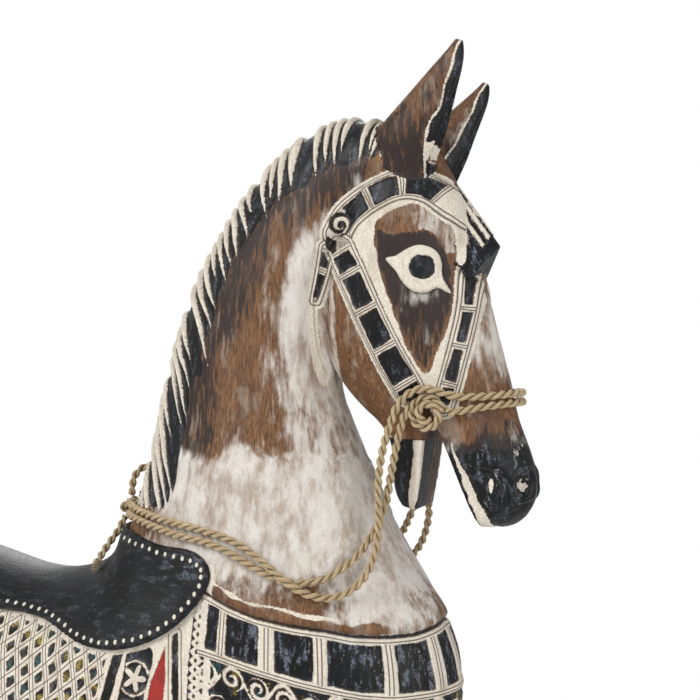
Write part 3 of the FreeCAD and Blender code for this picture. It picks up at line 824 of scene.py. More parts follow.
class Strap:
    """A carved band along a line in side view, with sunk black tiles.

    half and tile_half are half the band's and the tiles' widths at its two ends, bars are the places along
    it that part the tiles, and from plain_from on it has no tiles."""

    def __init__(self, line, half, tile_half, bars, plain_from=1e3):
        self.line = curve(line)
        runs = np.hypot(*np.diff(self.line, axis=0).T)
        self.length = runs.sum()
        self.half = half
        self.tile_half = tile_half
        self.bars = bars
        self.plain_from = plain_from

    def carve(self, skin, spots, on_side, height):
        """Raises the band, sinks its tiles and paints both, where on_side; a painted shadow lines the band's
        foot.
        """
        away, along = beside(spots, self.line)
        part = along / self.length
        half = np.interp(part, [0, 1], self.half)
        tile_half = np.interp(part, [0, 1], self.tile_half)
        band = half - np.abs(away)
        to_bar = np.min([np.abs(along - bar) for bar in self.bars], axis=0)
        bend = 0.5 * lumps(places(*spots.T), 5.0, 21)
        tile = np.minimum(tile_half + bend - np.abs(away), to_bar - BAR_HALF - 0.4 + bend)
        tile = only(on_side & (along < self.plain_from), tile)
        band = only(on_side, band)
        height += 1.5 * smoothstep(-0.5, 0.7, band)
        height -= 1.3 * smoothstep(-0.4, 0.7, tile)
        over(skin, "cream", np.minimum(band + 2.2, 3))
        without(skin, "black", band + 0.5)
        repaint(skin, "cream", "black", tile)
        # The rim's two dark lines: an incised line just inside the band's edge, and a painted shadow just
        # outside it, at the band's foot.
        rim = np.abs(np.abs(away) - half + 0.7) - 0.9
        put(skin, "rim", rim, band > -1.0)
        bar = np.where((np.abs(away) < half - 1.6) & (band > 0), to_bar - 0.8, 9)
        put(skin, "bar", bar, band > -1.0)
        groove = only(band > -1.0, 0.5 - np.minimum(np.abs(rim), np.abs(bar)))
        height -= 0.5 * smoothstep(-0.4, 0.3, groove)


# ------------------------------------------------------------------ the head, neck and ears
BROW_BAND = Strap(
    [(166, 672), (172, 682), (181.5, 690), (191.5, 695.5), (202, 699.5), (211, 700), (221, 697), (231, 690),
     (241, 682)],
    half=(9.5, 8.0), tile_half=(7.0, 5.4), bars=[0, 28.5, 50, 72], plain_from=72,
)
CHEEK_STRAP = Strap(
    [(168.5, 662.5), (178.5, 641), (189, 618.5), (199.5, 597.5), (209, 580)],
    half=(9.6, 9.6), tile_half=(6.0, 7.2), bars=[0.5, 15, 39, 64, 88],
)
NOSE_STRAP = Strap(
    [(243.3, 650), (242.4, 627), (238.6, 605), (233.2, 583.5), (229.5, 571)],
    half=(5.0, 6.4), tile_half=(1.9, 3.4), bars=[2, 23, 45, 68, 82],
)
THROAT_STRAP = Strap(
    [(158, 664), (156, 655), (153, 644), (149.5, 632)],
    half=(4.2, 2.2), tile_half=(2.6, 0.9), bars=[0, 14, 33],
)
EYE = (218.5, 651.5)
EYE_OUTLINE = [
    (196.5, 656.5), (203, 658.5), (209, 662), (215, 664.5), (221.5, 664), (227, 660.5), (229.8, 654),
    (230.2, 646), (234.5, 636.2), (227.5, 639.2), (221, 636.6), (213.5, 637.2), (207.5, 642),
    (202.5, 649.5),
]
EYE_PANEL = [
    (180, 671), (187, 679), (197, 686), (208, 691), (218, 692), (227, 690), (233.5, 684), (238.5, 665),
    (240.5, 648), (238.5, 634), (234.5, 617), (228.5, 598), (222.5, 583), (215, 590), (205, 606),
    (195, 627), (186, 648),
]
WOOD_PANEL = [
    (190, 670), (192, 679), (201, 685.5), (210, 688.6), (218, 689), (226, 686.6), (230.5, 683),
    (233.6, 674), (236.4, 660), (237.8, 648), (236.8, 636), (232.8, 616), (227, 601), (220, 589),
    (211.5, 599.5), (205, 614), (199, 632), (194, 646), (191, 659),
]
DARK_PATCH = [
    (190.5, 668), (190.5, 675), (200, 672.5), (211, 672.5), (220, 673.5), (227, 669), (232.2, 658),
    (235.6, 642), (235.4, 629), (232, 614.5), (226.8, 601), (220, 591), (211, 600), (204.5, 614.5),
    (199, 632), (194.3, 646), (191.5, 659),
]
CHEEK_EDGE = [
    (166, 668), (157, 655), (151.5, 638), (149.8, 620), (150.3, 604), (153, 590), (158.5, 579),
    (168, 571),
]
EAR_TIPS = (783.0, 765.0)  # the heights of the right ear's and the left ear's tip
# Where each ear's painted cup begins, from the tip down; the cup is on the line's left.
EAR_EDGE_RIGHT = [
    (245, 792), (238, 776), (235.7, 766.5), (231.6, 756), (228.7, 744), (223.4, 736), (220.3, 727),
    (218.7, 718), (217, 705),
]
EAR_EDGE_LEFT = [
    (247, 776), (238.5, 760), (235.5, 750), (230.5, 739), (226, 728), (220.5, 719), (217, 710),
    (214.5, 700), (211, 688),
]
CREST = [
    (203, 741), (190, 745.5), (174, 746.5), (160, 745.8), (142, 740.5), (122, 731), (101, 719),
    (87, 705.5), (76, 687), (65, 668), (56, 644), (50, 622), (43, 599), (37, 575), (32, 551), (27, 527),
    (22, 505), (17, 490),
]


def carve_mane(skin, spots, height):
    """Feathered locks that hang from the crest, each a wedge with a black cut behind it.

    Gives back how far the black between the locks spreads over the neck."""
    line = curve(CREST)
    away, along = beside(spots, line, reach=95)
    length = np.hypot(*np.diff(line, axis=0).T).sum()
    part = np.clip(along / length, 0, 1)
    inward = np.abs(away)
    slant = np.radians(np.interp(part, [0, 0.12, 0.3, 0.5, 0.75, 1], [2, 8, 26, 44, 54, 58]))
    reach = np.interp(part, [0, 0.15, 0.35, 0.6, 1], [30, 34, 40, 52, 66])
    root = along - inward * np.tan(slant)
    steps = np.arange(0, length + 1)
    pitches = np.interp(steps / length, [0, 0.3, 0.5, 1], [6.6, 8.4, 10.0, 10.6])
    pitch = np.interp(root, steps, pitches)
    place = np.interp(root, steps, np.cumsum(1 / pitches), left=-1)
    place += 0.30 * lumps(places(along, inward * 0.35), 17.0, 31)
    number = np.floor(place)
    across = place - number - 0.5
    own = lumps(places(number * 3.7, 5), 1.0, 33)
    in_tuft = number % 5
    fall = np.cos(slant)
    tip = reach * (0.86 + 0.09 * in_tuft + 0.16 * own)
    run = inward / fall / tip
    wide = (np.interp(part, [0, 0.3, 1], [0.43, 0.38, 0.31]) + 0.05 * own) * (1 - np.clip(run, 0, 1) ** 2.4)
    wide *= 0.6 + 0.4 * smoothstep(0, 0.3, run)
    lean = 0.16 * run
    lock = (wide - np.abs(across + lean)) * pitch * fall
    bare = (in_tuft == 4) & (own > 0.1)
    lock = only((run <= 1.0) & (part > 0.004) & (part < 0.996) & ~bare, lock)
    fray = inward / fall / reach + 0.16 * lumps(skin.points * (1, 1, 0.4), 9.0, 34)
    ground = smoothstep(1.12, 0.86, fray) * smoothstep(0, 0.02, part)
    crown = smoothstep(-0.2, 1.6, lock)
    height += 2.3 * crown * (1 - 0.35 * run) - 1.5 * ground * (1 - crown)
    cut = 0.26 - np.abs(across + lean - 0.12) * pitch * fall
    cut = only((lock > 0.4) & (run < 0.8), cut)
    height -= 0.7 * smoothstep(-0.4, 0.2, cut)
    over(skin, "cream", lock - 0.25, run < 1)
    over(skin, "line", cut, lock > 0.9)
    over(skin, "black", np.where(lock < 0.2, 1.2 - lock, 0) * ground - 0.8 - 3 * (1 - ground))
    beyond = inward - reach * fall + 11 * lumps(skin.points * (1, 1, 0.35), 14.0, 35)
    dusk = smoothstep(40, 8, beyond) * smoothstep(0, 0.05, part)
    return dusk


def carve_eye(skin, spots, on_side, height):
    """An almond eye with a flat rim, a deep ring and a black iris."""
    depth = only(on_side, within(spots, EYE_OUTLINE))
    from_iris = np.hypot(*(spots - np.array(EYE)).T)
    ragged = 0.5 * lumps(places(*spots.T), 3.0, 41)
    iris = only(on_side, 7.2 + ragged - from_iris)
    socket = blob(spots, (213, 651), 26, 20) * on_side
    height -= 2.2 * socket
    height += 1.8 * smoothstep(-0.6, 0.8, depth)
    height -= 1.5 * smoothstep(-0.4, 0.5, iris)
    ball = np.clip(1 - from_iris / 11.2, 0, 1)
    height += 1.6 * np.where(on_side, ball, 0)
    ring = only(on_side, 0.5 - np.abs(from_iris - 10.4))
    height -= 0.5 * smoothstep(-0.5, 0.3, ring)
    repaint(skin, "black", "cream", depth)
    repaint(skin, "cream", "black", iris)
    lid = only(on_side, 0.45 - np.abs(depth + 0.25))
    over(skin, "line", lid, spots[:, 1] > 645)
    height -= 0.8 * smoothstep(-0.4, 0.3, lid)


def carve_head(skin, spots, points, height):
    """The face: straps, brow, eye, cheek, nostrils, lips and their paint."""
    sideways = np.abs(points[:, 1])
    on_side = (sideways > 4.5) & (spots[:, 0] > 140)
    x, z = spots.T
    values = skin.values

    panel = only(on_side, within(spots, EYE_PANEL))
    wood = only(on_side, within(spots, WOOD_PANEL))
    height -= 1.6 * smoothstep(-0.5, 5.0, wood)
    over(skin, "cream", np.minimum(panel + 3.0, 0.4 - wood) - 0.9 * lumps(points, 6.0, 51))
    brow_wash = np.interp(x, [195, 206, 208.5, 215, 217, 232], [0.10, 0.10, 0.44, 0.44, 0.60, 0.50])
    put(skin, "wash", brow_wash, (wood > 0) & (z > 660))
    patch = only(on_side, within(spots, DARK_PATCH))
    low = smoothstep(640, 600, z)
    over(skin, "dark", smoothstep(-0.5, 3.0, patch) * (0.92 - 0.32 * low))
    under_eye = np.exp(-((z - 634) / 6) ** 2) * np.exp(-((x - 217) / 12) ** 2)
    put(skin, "wash", 0.31 + 0.09 * low + 0.22 * under_eye, patch > 0)
    around_eye = 10.5 - np.abs(within(spots, EYE_OUTLINE) + 3.5)
    lash = np.minimum(around_eye - 5.0, patch - 1)
    lash = np.minimum(lash, 0.4 * (z - 648) + 2.5 * lumps(points * (1, 1, 0.4), 3.5, 54))
    lash = smoothstep(-3.5, 2.0, only(on_side & (patch > 0), lash))
    over(skin, "dark", 0.95 * lash)
    values["wash"] = values["wash"] * (1 - 0.7 * lash)

    cheek = off_line(spots, CHEEK_EDGE, reach=30)
    cheek = np.where(on_side & (x < 205), cheek, 99)
    flank = smoothstep(4.5, 13, sideways) * on_side
    height += 1.8 * smoothstep(-1.2, 1.2, cheek) * smoothstep(26, 4, cheek) * flank
    height -= 3.0 * np.where(cheek < 0, smoothstep(12, 1.0, -cheek), 0) * flank
    edging = 4.5 + cheek + 2.6 * lumps(points * (1, 1, 0.4), 6.0, 52) - 6 * (1 - flank)
    over(skin, "cream", edging, on_side & (cheek < 0))

    in_front = x > 163 + 0.6 * np.maximum(571 - z, 0)
    face = in_front & (z > 546) & (cheek > 0) & (panel < -3)
    profile = np.exp(-((z - 614) / 32) ** 2) * smoothstep(234, 244, x + 0.28 * (z - 622))
    face_wash = 0.34 + 0.15 * lumps(points * (1, 1, 0.4), 16.0, 53) + 0.26 * profile
    put(skin, "wash", face_wash, face)
    BROW_BAND.carve(skin, spots, on_side, height)
    THROAT_STRAP.carve(skin, spots, on_side, height)
    CHEEK_STRAP.carve(skin, spots, on_side, height)
    NOSE_STRAP.carve(skin, spots, sideways > 3.5, height)
    carve_eye(skin, spots, on_side, height)
    carve_scroll(skin, spots, on_side, height)
    carve_muzzle(skin, spots, points, height)


def carve_scroll(skin, spots, on_side, height):
    """A cream spiral on the black end of the brow band."""
    middle = np.array((166.5, 677.5))
    gap = spots - middle
    far = np.hypot(*gap.T)
    turn = np.arctan2(gap[:, 1], -gap[:, 0]) + np.pi
    ring = to_spiral(far, turn, 5.2)
    thread = only(on_side & (far < 8.4) & (far > 1.4), 1.15 - ring)
    foot = 4.6 - np.hypot((spots[:, 0] - 162.5) * 0.9, (spots[:, 1] - 667) * 0.7)
    disc = only(on_side, np.maximum(9.0 - far, foot))
    without(skin, "cream", disc)
    without(skin, "line", disc)
    over(skin, "black", disc)
    rim = only(on_side & (gap[:, 0] < 3.5), 0.9 - np.abs(far - 8.6))
    thread = np.maximum(thread, rim)
    repaint(skin, "black", "cream", thread)
    height += 1.1 * smoothstep(-0.6, 0.4, thread) - 0.7 * smoothstep(-0.4, 0.6, disc)


def carve_muzzle(skin, spots, points, height):
    """A dark muzzle with a cut nostril, a lip line and a cream bevel inside the mouth."""
    x, z = spots.T
    sideways = np.abs(points[:, 1])
    values = skin.values
    snout = (x > 218) & (z < 575)
    edge = 548 + 0.16 * (x - 240) + 6.0 * lumps(points, 11.0, 61)
    shade = np.where(snout, smoothstep(edge + 14, edge - 8, z), 0)
    over(skin, "dark", shade)
    over(skin, "black", (edge - 6 - z) * 0.25, snout)
    put(skin, "wash", 0.20 + 0.22 * smoothstep(0.0, 0.4, lumps(points, 13.0, 62)), snout)
    scratched = smoothstep(0.05, 0.45, lumps(points * (1, 1, 0.6), 11.0, 64))
    put(skin, "scuffs", 0.8 + 2.2 * scratched, snout)
    nostril = np.hypot((x - 273.5) / 0.55, z - 524)
    at_nose = (sideways > 4) & snout
    height -= 3.4 * np.where(at_nose, smoothstep(7.2, 3.0, nostril), 0)
    height += 1.7 * fold(nostril - 9.2, 2.2) * at_nose
    over(skin, "black", 9.0 - nostril, at_nose)
    over(skin, "cream", 3.6 - nostril + 3.0 * lumps(points, 2.2, 63), at_nose)
    scraped = np.maximum(blob(spots, (250, 549), 6, 12), blob(spots, (258, 526), 6, 11))
    scraped = np.maximum(scraped, blob(spots, (270, 543), 4, 12))
    chalky = 4.0 * (scraped - 1.12) + 3.4 * lumps(points * (1, 1, 0.22), 2.4, 65)
    over(skin, "cream", np.minimum(chalky, 0.6), at_nose)
    values["scuffs"] = values["scuffs"] + np.where(at_nose, 2.5 * scraped, 0)
    strip_line = curve([(234, 549), (241.5, 530), (251.5, 505), (254, 497)])
    beside_lip = beside(spots, strip_line)[0] + 0.9 * lumps(points, 5.0, 66)
    lip_width = np.interp(z, [505, 550], [3.1, 0.3])
    over(skin, "cream", lip_width - np.abs(beside_lip + 0.4), at_nose)
    groove = beside_lip - 3.6
    height -= 1.2 * fold(groove, 1.2) * at_nose
    flare = off_line(spots, [(250, 535), (257, 533.5), (263, 529.5), (267.5, 523), (268, 515)])
    height -= 1.8 * fold(flare, 1.5) * at_nose
    over(skin, "black", 1.2 - np.abs(flare), at_nose)
    lip = off_line(spots, [(238, 538), (247, 518), (254, 508.5), (265, 509), (276, 514)])
    height -= 1.5 * fold(lip, 1.3) * at_nose
    cheekbone = off_line(spots, [(240, 572), (250, 552), (262, 537)])
    height += 1.3 * fold(cheekbone, 5.0) * at_nose


def soft_shape(skin, height):
    """Hand-carved unevenness: shallow facets and tool marks."""
    points = skin.points
    height += 0.55 * lumps(points, 21.0, 71) + 0.30 * lumps(points * (1, 1, 0.5), 8.0, 72)
    height += 0.13 * lumps(points * (1, 1, 0.35), 2.6, 73)


def body_wash(points):
    """How chalky the neck and trunk are: blotchy white at the neck's foot, on its front and on the chest."""
    x, _, z = points.T
    cloudy = 0.07 + 0.14 * smoothstep(560, 530, z)
    blotch = cloudy * lumps(points, 38.0, 81) + 0.09 * lumps(points * (1, 1, 0.4), 13.0, 82)
    edge = z + 9 * lumps(points, 15.0, 83) + 4 * lumps(points, 5.0, 84)
    low = smoothstep(549, 533, edge) * smoothstep(20, 60, x) * smoothstep(455, 475, z)
    front = smoothstep(95, 160, x + 0.10 * (z - 560)) * smoothstep(672, 600, z) * smoothstep(330, 430, z)
    chest = smoothstep(60, 130, x) * smoothstep(430, 470, z) * smoothstep(556, 534, edge)
    scratched = 0.10 * np.maximum(lumps(points * (1, 1, 0.22), 5.0, 87), -0.2) * smoothstep(530, 550, z)
    chalk = np.maximum.reduce([0.28 * low, 0.19 * front, 0.24 * chest])
    return np.clip(0.36 + blotch + scratched + chalk, 0, 0.8)


def paint_neck(skin, spots, points, dusk):
    """Brown and black above, chalky white low down and along the throat."""
    x, z = spots.T
    values = skin.values
    throat = smoothstep(26, 6, np.abs(off_line(spots, CHEEK_EDGE, reach=40) + 8)) * (x < 165)
    values["wash"] = np.maximum(body_wash(points), 0.66 * throat)
    dusk = dusk * smoothstep(515, 545, z)
    over(skin, "dark", 0.70 * dusk)
    values["wash"] = values["wash"] * (1 - 0.25 * dusk)


FORE_NODES = ["neck", "head", "lower_jaw", "ear_right", "ear_left", "forehead_peak"]
FORE_PIECES = ["neck", "head", "jaw", "ear_right", "ear_left", "peak"]
FORE_DOWELS = ["neck_dowels", "head_dowels", "jaw_dowel", "ear_dowels", "peak_dowel"]
NECK_JOINT = 538.0  # the neck's block ends at this height
SHOULDER_CUT = 505.0  # above this height the trunk's skin comes from the finer skin of the neck
OVERLAP = 1.5  # how far the finer skin reaches below that height
FORE_VOXEL = 0.85


def share_out(skin, nodes):
    """Which CAD node each face belongs to: the one with the nearest surface."""
    votes = nearest_node(skin.points, nodes)[skin.quads]
    return np.sort(votes, axis=1)[:, 1]


def trim_level(skin, level, reach):
    """Slides the open edge's points that lie near a level along the surface on to it."""
    edges, uses = np.unique(np.sort(sides_of(skin.quads), axis=1), axis=0, return_counts=True)
    rim = np.unique(edges[uses == 1])
    rim = rim[np.abs(skin.points[rim, 2] - level) < reach]
    facing = skin.normals()[rim]
    up = np.array([0.0, 0.0, 1.0]) - facing * facing[:, 2:]
    rise = level - skin.points[rim, 2]
    skin.points[rim] += up * (rise / np.maximum(up[:, 2], 0.25))[:, None]


def settle(skin, height):
    """Moves the skin out by the heights, and keeps its normals and how deep its hollows are, which the wood's
    painted shade darkens.
    """
    skin.points = skin.points + skin.normals() * skin.average(height, 1)[:, None]
    skin.points = skin.average(skin.points, 1)
    settled = skin.average(skin.points, 10)
    hollow = ((settled - skin.points) * skin.normals()).sum(1)
    # How deep each hollow is, for the painted shade in the hollows.
    skin.values["hollow_shade"] = np.clip(hollow, 0, 2)
    skin.values["normals"] = skin.normals()


def forepart():
    """The head, jaw, ears, forehead peak and neck, carved as one skin and then parted.

    The skin goes on over the top of the trunk, and that part of it is given back."""
    skin = skin_round([*FORE_NODES, *FORE_DOWELS, "trunk"], FORE_VOXEL, 2, cut_below=494)
    owner = share_out(skin, [*FORE_NODES, "trunk"])
    middle = skin.points[skin.quads].mean(1)
    foot = (owner == 0) | (owner == len(FORE_NODES))
    owner[foot] = np.where(middle[foot, 2] > NECK_JOINT, 0, len(FORE_NODES))
    blank_paint(skin)
    points = skin.points
    spots = points[:, [0, 2]]
    height = np.zeros(len(points))  # every carving function adds to it in place
    in_neck, in_head, in_jaw, in_ear_right, in_ear_left, in_peak, in_shoulders = (
        skin.points_of(owner == index) for index in range(len(FORE_NODES) + 1)
    )
    in_neck |= in_shoulders
    soft_shape(skin, height)
    dusk = carve_mane(skin, spots, height)
    paint_neck(skin, spots, points, dusk)
    step = points[:, 2] - 537 + 7 * lumps(points * (1, 1, 0.1), 17.0, 85) + 3 * lumps(points, 6.0, 86)
    height += 1.0 * np.where(in_neck & (points[:, 0] > 74), smoothstep(1.2, -0.6, step), 0)
    carve_head(skin, spots, points, height)
    off = ~(in_head | in_neck)
    height[off] = 0
    for label, value in NO_PAINT.items():
        skin.values[label][off] = value
    paint_jaw(skin, spots, in_jaw, height)
    paint_ears(skin, in_ear_right | in_ear_left, height)
    paint_peak(skin, points, in_peak, height)
    settle(skin, height)
    for index, (name, node) in enumerate(zip(FORE_PIECES, FORE_NODES)):
        piece_of_skin(f"carved_{name}", skin.part(owner == index), node, UPRIGHT_WOOD)
    shoulders = skin.part((owner == len(FORE_NODES)) & (middle[:, 2] > SHOULDER_CUT - OVERLAP))
    trim_level(shoulders, SHOULDER_CUT - OVERLAP, FORE_VOXEL)
    piece_of_skin("carved_shoulders", shoulders, "trunk", UPRIGHT_WOOD, caps=False)
    return skin.part(owner == len(FORE_NODES))


def meet(skin, shoulders):
    """Draws the points just under the shoulders' cut on to the shoulders' own surface."""
    tree = BVHTree.FromPolygons(shoulders.points.tolist(), shoulders.quads.tolist())
    z = skin.points[:, 2]
    share = smoothstep(SHOULDER_CUT - 7, SHOULDER_CUT - 2, z)
    for index in np.flatnonzero((share > 0) & (z < SHOULDER_CUT + 3)):
        found = np.array(tree.find_nearest(skin.points[index])[0])
        skin.points[index] += share[index] * (found - skin.points[index])


def piece_of_skin(name, skin, node, material, caps=True):
    """A part of a carved skin as a piece that replaces a CAD node."""
    normals = skin.values.pop("normals")
    made = mesh_object(name, skin, material, normals, caps)
    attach(made, "root")
    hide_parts(node)


def paint_jaw(skin, spots, in_jaw, height):
    """A black jaw with a cream strip down its front corners, its front face part bare."""
    x, z = spots.T
    in_jaw = in_jaw & (x > 178)
    behind_front = 215.7 - (550 - z) * 0.117 - x  # the jaw's front face leans back as it goes down
    y = skin.points[:, 1]
    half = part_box("lower_jaw")[1][1] / MM
    round_corner = np.maximum(half - 1.5 - np.abs(y), 0) * smoothstep(4, 1, behind_front)
    from_corner = np.maximum(behind_front, 0) - round_corner
    wave = 0.8 * lumps(places(z, 0), 9.0, 91)
    bare = only(behind_front < 2.5, (y - 2 + 2 * wave) * 0.5)
    over(skin, "black", -bare, in_jaw)
    strip_half = np.where(y < 0, 4.6, 2.6)
    strip = strip_half - np.abs(from_corner - 1.0 + wave) + 0.8 * lumps(skin.points, 3.0, 96)
    strip = only(in_jaw, strip)
    over(skin, "cream", strip)
    height += 0.6 * smoothstep(-0.5, 0.8, strip)
    put(skin, "wash", 0.44, in_jaw)
    put(skin, "dark", 0.45, in_jaw)


def paint_ears(skin, in_ear, height):
    """Ears: stained outside, black in the cup, with a cream edge."""
    right = skin.points[:, 1] < 0
    spots = skin.points[:, [0, 2]]
    cup = np.full(len(spots), OUTSIDE)
    for side, line in ((right, EAR_EDGE_RIGHT), (~right, EAR_EDGE_LEFT)):
        index = np.flatnonzero(side & in_ear)
        cup[index] = beside(spots[index], curve(line), reach=60)[0]
    below_tip = np.where(right, *EAR_TIPS) - skin.points[:, 2]
    over(skin, "black", cup - 0.4, in_ear)
    over(skin, "cream", 0.65 - np.abs(cup) + 0.4 * lumps(skin.points, 5.0, 92), in_ear)
    height += 0.5 * np.where(in_ear, smoothstep(1.4, 0.4, np.abs(cup)), 0)
    foot = 5 - np.abs(below_tip - 65) + 3 * lumps(skin.points, 4.0, 95)
    over(skin, "cream", np.minimum(0.5 * foot, 1.2), in_ear & (cup > 0))
    base = smoothstep(22, 66, below_tip + 8 * lumps(skin.points * (1, 1, 0.5), 9.0, 93))
    put(skin, "dark", 0.40 + 0.40 * base, in_ear)
    pale = smoothstep(6, 14, below_tip) * smoothstep(48, 26, below_tip) * smoothstep(-9, -2, cup)
    ear_wash = 0.21 + 0.26 * pale + 0.12 * lumps(skin.points * (1, 1, 0.5), 10.0, 94)
    put(skin, "wash", ear_wash, in_ear)


def paint_peak(skin, points, in_peak, height):
    """The forehead peak: black flanks under three cream ridges."""
    sideways = np.abs(points[:, 1])
    x, z = points[:, 0], points[:, 2]
    over(skin, "black", 1.0, in_peak)
    ridges = [1.3 - sideways, 1.0 - np.abs(sideways - 4.3), 0.9 - np.abs(sideways - 8.2)]
    ridge = only(in_peak & (x - 0.5 * (z - 690) < 262), np.max(ridges, axis=0))  # short of the front edge
    put(skin, "scuffs", 2.8 * smoothstep(258, 246, x), in_peak)
    over(skin, "cream", ridge)
    height += 1.2 * smoothstep(-0.5, 0.8, ridge)
    smears = 3.0 * lumps(points * (1, 0.5, 0.5), 4.5, 97) - 0.6 - 0.25 * np.maximum(x - 240, 0)
    over(skin, "cream", np.minimum(smears, 1.0), in_peak)


# ------------------------------------------------------------------ the body, legs, tail and saddle
LEG_NODES = ["leg_front_right", "leg_front_left", "leg_hind_right", "leg_hind_left"]
HIND_NODES = ["trunk", *LEG_NODES, "tail", "neck"]
HIND_DOWELS = ["leg_dowels", "tail_dowel", "neck_dowels"]
HIND_VOXEL = 2.0
SADDLE_VOXEL = 1.3
CLOTH_FLOOR = 342.0  # the painted caparison's lower edge
CLOTH_BACK = -150.0  # and its back edge
WEAVE_RISE = math.radians(38)  # one set of the lattice's lines
WEAVE_STEEP = math.radians(-70)  # the other set
WEAVE_PITCH = (9.6, 10.0)  # how far apart the lines of each set are
CHEST_AXIS = 110.0  # the collar is measured by angles round an upright line at this x
COLLAR_END = 103.0  # degrees
# The collar's upper edge, its tiles' lower edge and the way round the chest, each against the degrees.
COLLAR_TOP = (
    [0, 7, 16, 25, 36, 45, 59, 76, 91, 104],
    [439, 437.5, 435.5, 435.5, 437, 440, 442.5, 446.5, 452, 458],
)
TILE_FOOT = ([0, 12, 25, 34, 52, 75, 93, 104], [404.5, 404, 404, 406, 412, 419.5, 425, 428])
CHEST_ARC = ([0, 12, 25, 34, 52, 75, 93, 104], [0, 24, 53, 72, 103, 134, 155, 168])
TILES = [(1.9, 7.8), (12.4, 23.4), (27.2, 44.8), (50, 65.8), (73.5, 90.4), (95.1, 101.2)]
TILE_BARS = [0, 10.1, 25.3, 47.4, 69.6, 92.8]
SADDLE_SIDE = [
    (-4, 492), (28, 489), (64, 484), (88, 481), (97, 471), (91, 454), (66, 432), (32, 421.5), (4, 424),
    (-20, 431), (-54, 435), (-92, 437), (-122, 444), (-138, 462), (-140, 520),
]
BLACK_STRIP = [(39.5, 428), (35, 404), (31, 380), (28, 335)]
FLOWER_PANEL = [(46, 424), (61.5, 424), (60.5, 404), (57, 384), (53, 340), (36, 340), (39.5, 380), (43, 404)]
FLOWERS = [(51.5, 407), (48, 384), (44.5, 361)]
LOZENGE = [(70, 427), (72.2, 408), (71.5, 385), (70, 350), (63, 366), (60.8, 388), (63, 406)]
DARK_STRIPE = [(76, 434), (78.5, 410), (81, 380), (83.5, 335)]
BRAID = [(92, 458), (91.2, 424), (91.6, 390), (92.8, 335)]


def refined(skin):
    """The skin with every quad parted into four; the quads' quarters follow each other in four runs."""
    edges = skin.edges()
    count = len(skin.points)
    known = edges[:, 0] * count + edges[:, 1]
    points = [skin.points, skin.points[edges].mean(1), skin.points[skin.quads].mean(1)]
    sides = []
    for i in range(4):
        ends = np.sort(skin.quads[:, [i, (i + 1) % 4]], axis=1)
        sides.append(count + np.searchsorted(known, ends[:, 0] * count + ends[:, 1]))
    middle = count + len(edges) + np.arange(len(skin.quads))
    quarters = [np.column_stack([skin.quads[:, i], sides[i], middle, sides[i - 1]]) for i in range(4)]
    return Skin(np.vstack(points), np.vstack(quarters))


def carve_collar(skin, height):
    """A breast collar: a row of black tiles in cream frames, and scrolls on black below it."""
    points = skin.points
    z = points[:, 2]
    forward = points[:, 0] - CHEST_AXIS
    sideways = np.abs(points[:, 1])
    degrees = np.degrees(np.arctan2(sideways, forward))
    per_degree = np.radians(np.hypot(forward, sideways))
    below_top = np.interp(degrees, *COLLAR_TOP) - z
    above_foot = z - np.interp(degrees, *TILE_FOOT)
    end = (COLLAR_END - degrees) * per_degree
    chest = (end > -3) & (z < 500)
    bend = 0.5 * lumps(points, 6.0, 101)

    tile_side = np.max([np.minimum(degrees - a, b - degrees) for a, b in TILES], axis=0) * per_degree
    tile = np.min([tile_side, below_top - 3.4, above_foot - 0.6], axis=0) + bend
    tile = only(chest, tile)
    frame_band = only(chest, np.min([below_top, above_foot + 4.4, end + 2], axis=0))
    over(skin, "cream", np.minimum(frame_band, 3))
    repaint(skin, "cream", "black", tile)
    put(skin, "scuffs", 2.6, tile > -1)
    to_bar = np.min([np.abs(degrees - bar) for bar in TILE_BARS], axis=0) * per_degree
    near_top = below_top < above_foot
    rim = np.where(near_top, np.abs(below_top - 0.5) - 1.4, np.abs(above_foot + 2.2) - 1.0)
    put(skin, "rim", rim, frame_band > -2.2)
    in_bar = (below_top > 2.6) & (above_foot > -0.6) & chest & (tile < 0)
    put(skin, "bar", to_bar - 1.1, in_bar)
    height -= 1.1 * smoothstep(-0.5, 0.9, tile)
    height += 0.5 * smoothstep(-0.4, 0.8, frame_band)

    groove = only(chest, 1.1 - 0.5 * smoothstep(30, 90, degrees) - np.abs(below_top + 1.2))
    over(skin, "black", groove)
    without(skin, "cream", groove)
    height -= 1.3 * smoothstep(-0.5, 0.5, groove)
    above = only(chest, -below_top)
    height += 1.8 * smoothstep(0.5, 4, above) * smoothstep(24, 5, above)
    band = smoothstep(1.5, 3, above) * smoothstep(9, 6, above + 2 * lumps(points, 12, 102))
    skin.values["wash"] = skin.values["wash"] * (1 - 0.9 * band * smoothstep(15, 40, degrees))
    streak = only(chest & (degrees > 40), 1.2 - np.abs(above - 8.5 - 1.5 * lumps(points, 20, 103)))
    over(skin, "cream", streak + 0.8 * lumps(points, 7, 104))

    across = np.interp(degrees, *CHEST_ARC)
    down = -4.4 - above_foot
    field = only(chest, np.min([down, end, z - CLOTH_FLOOR - 4], axis=0))
    thread = scrolls(across, down)
    over(skin, "black", field)
    thread = only(field > 0.4, thread)
    repaint(skin, "black", "cream", thread)
    height += 0.9 * smoothstep(-0.6, 0.5, thread) - 0.6 * smoothstep(-0.5, 0.8, field)
    hem = only(chest, 2.2 - np.abs(z - CLOTH_FLOOR - 2))
    over(skin, "cream", hem)
    height += 0.8 * smoothstep(-0.5, 0.6, hem)
    touch = lumps(points, 6.5, 105)
    put(skin, "gold", smoothstep(0.45, 0.6, touch), field > 0)
    put(skin, "green", smoothstep(-0.45, -0.6, touch), field > 0)


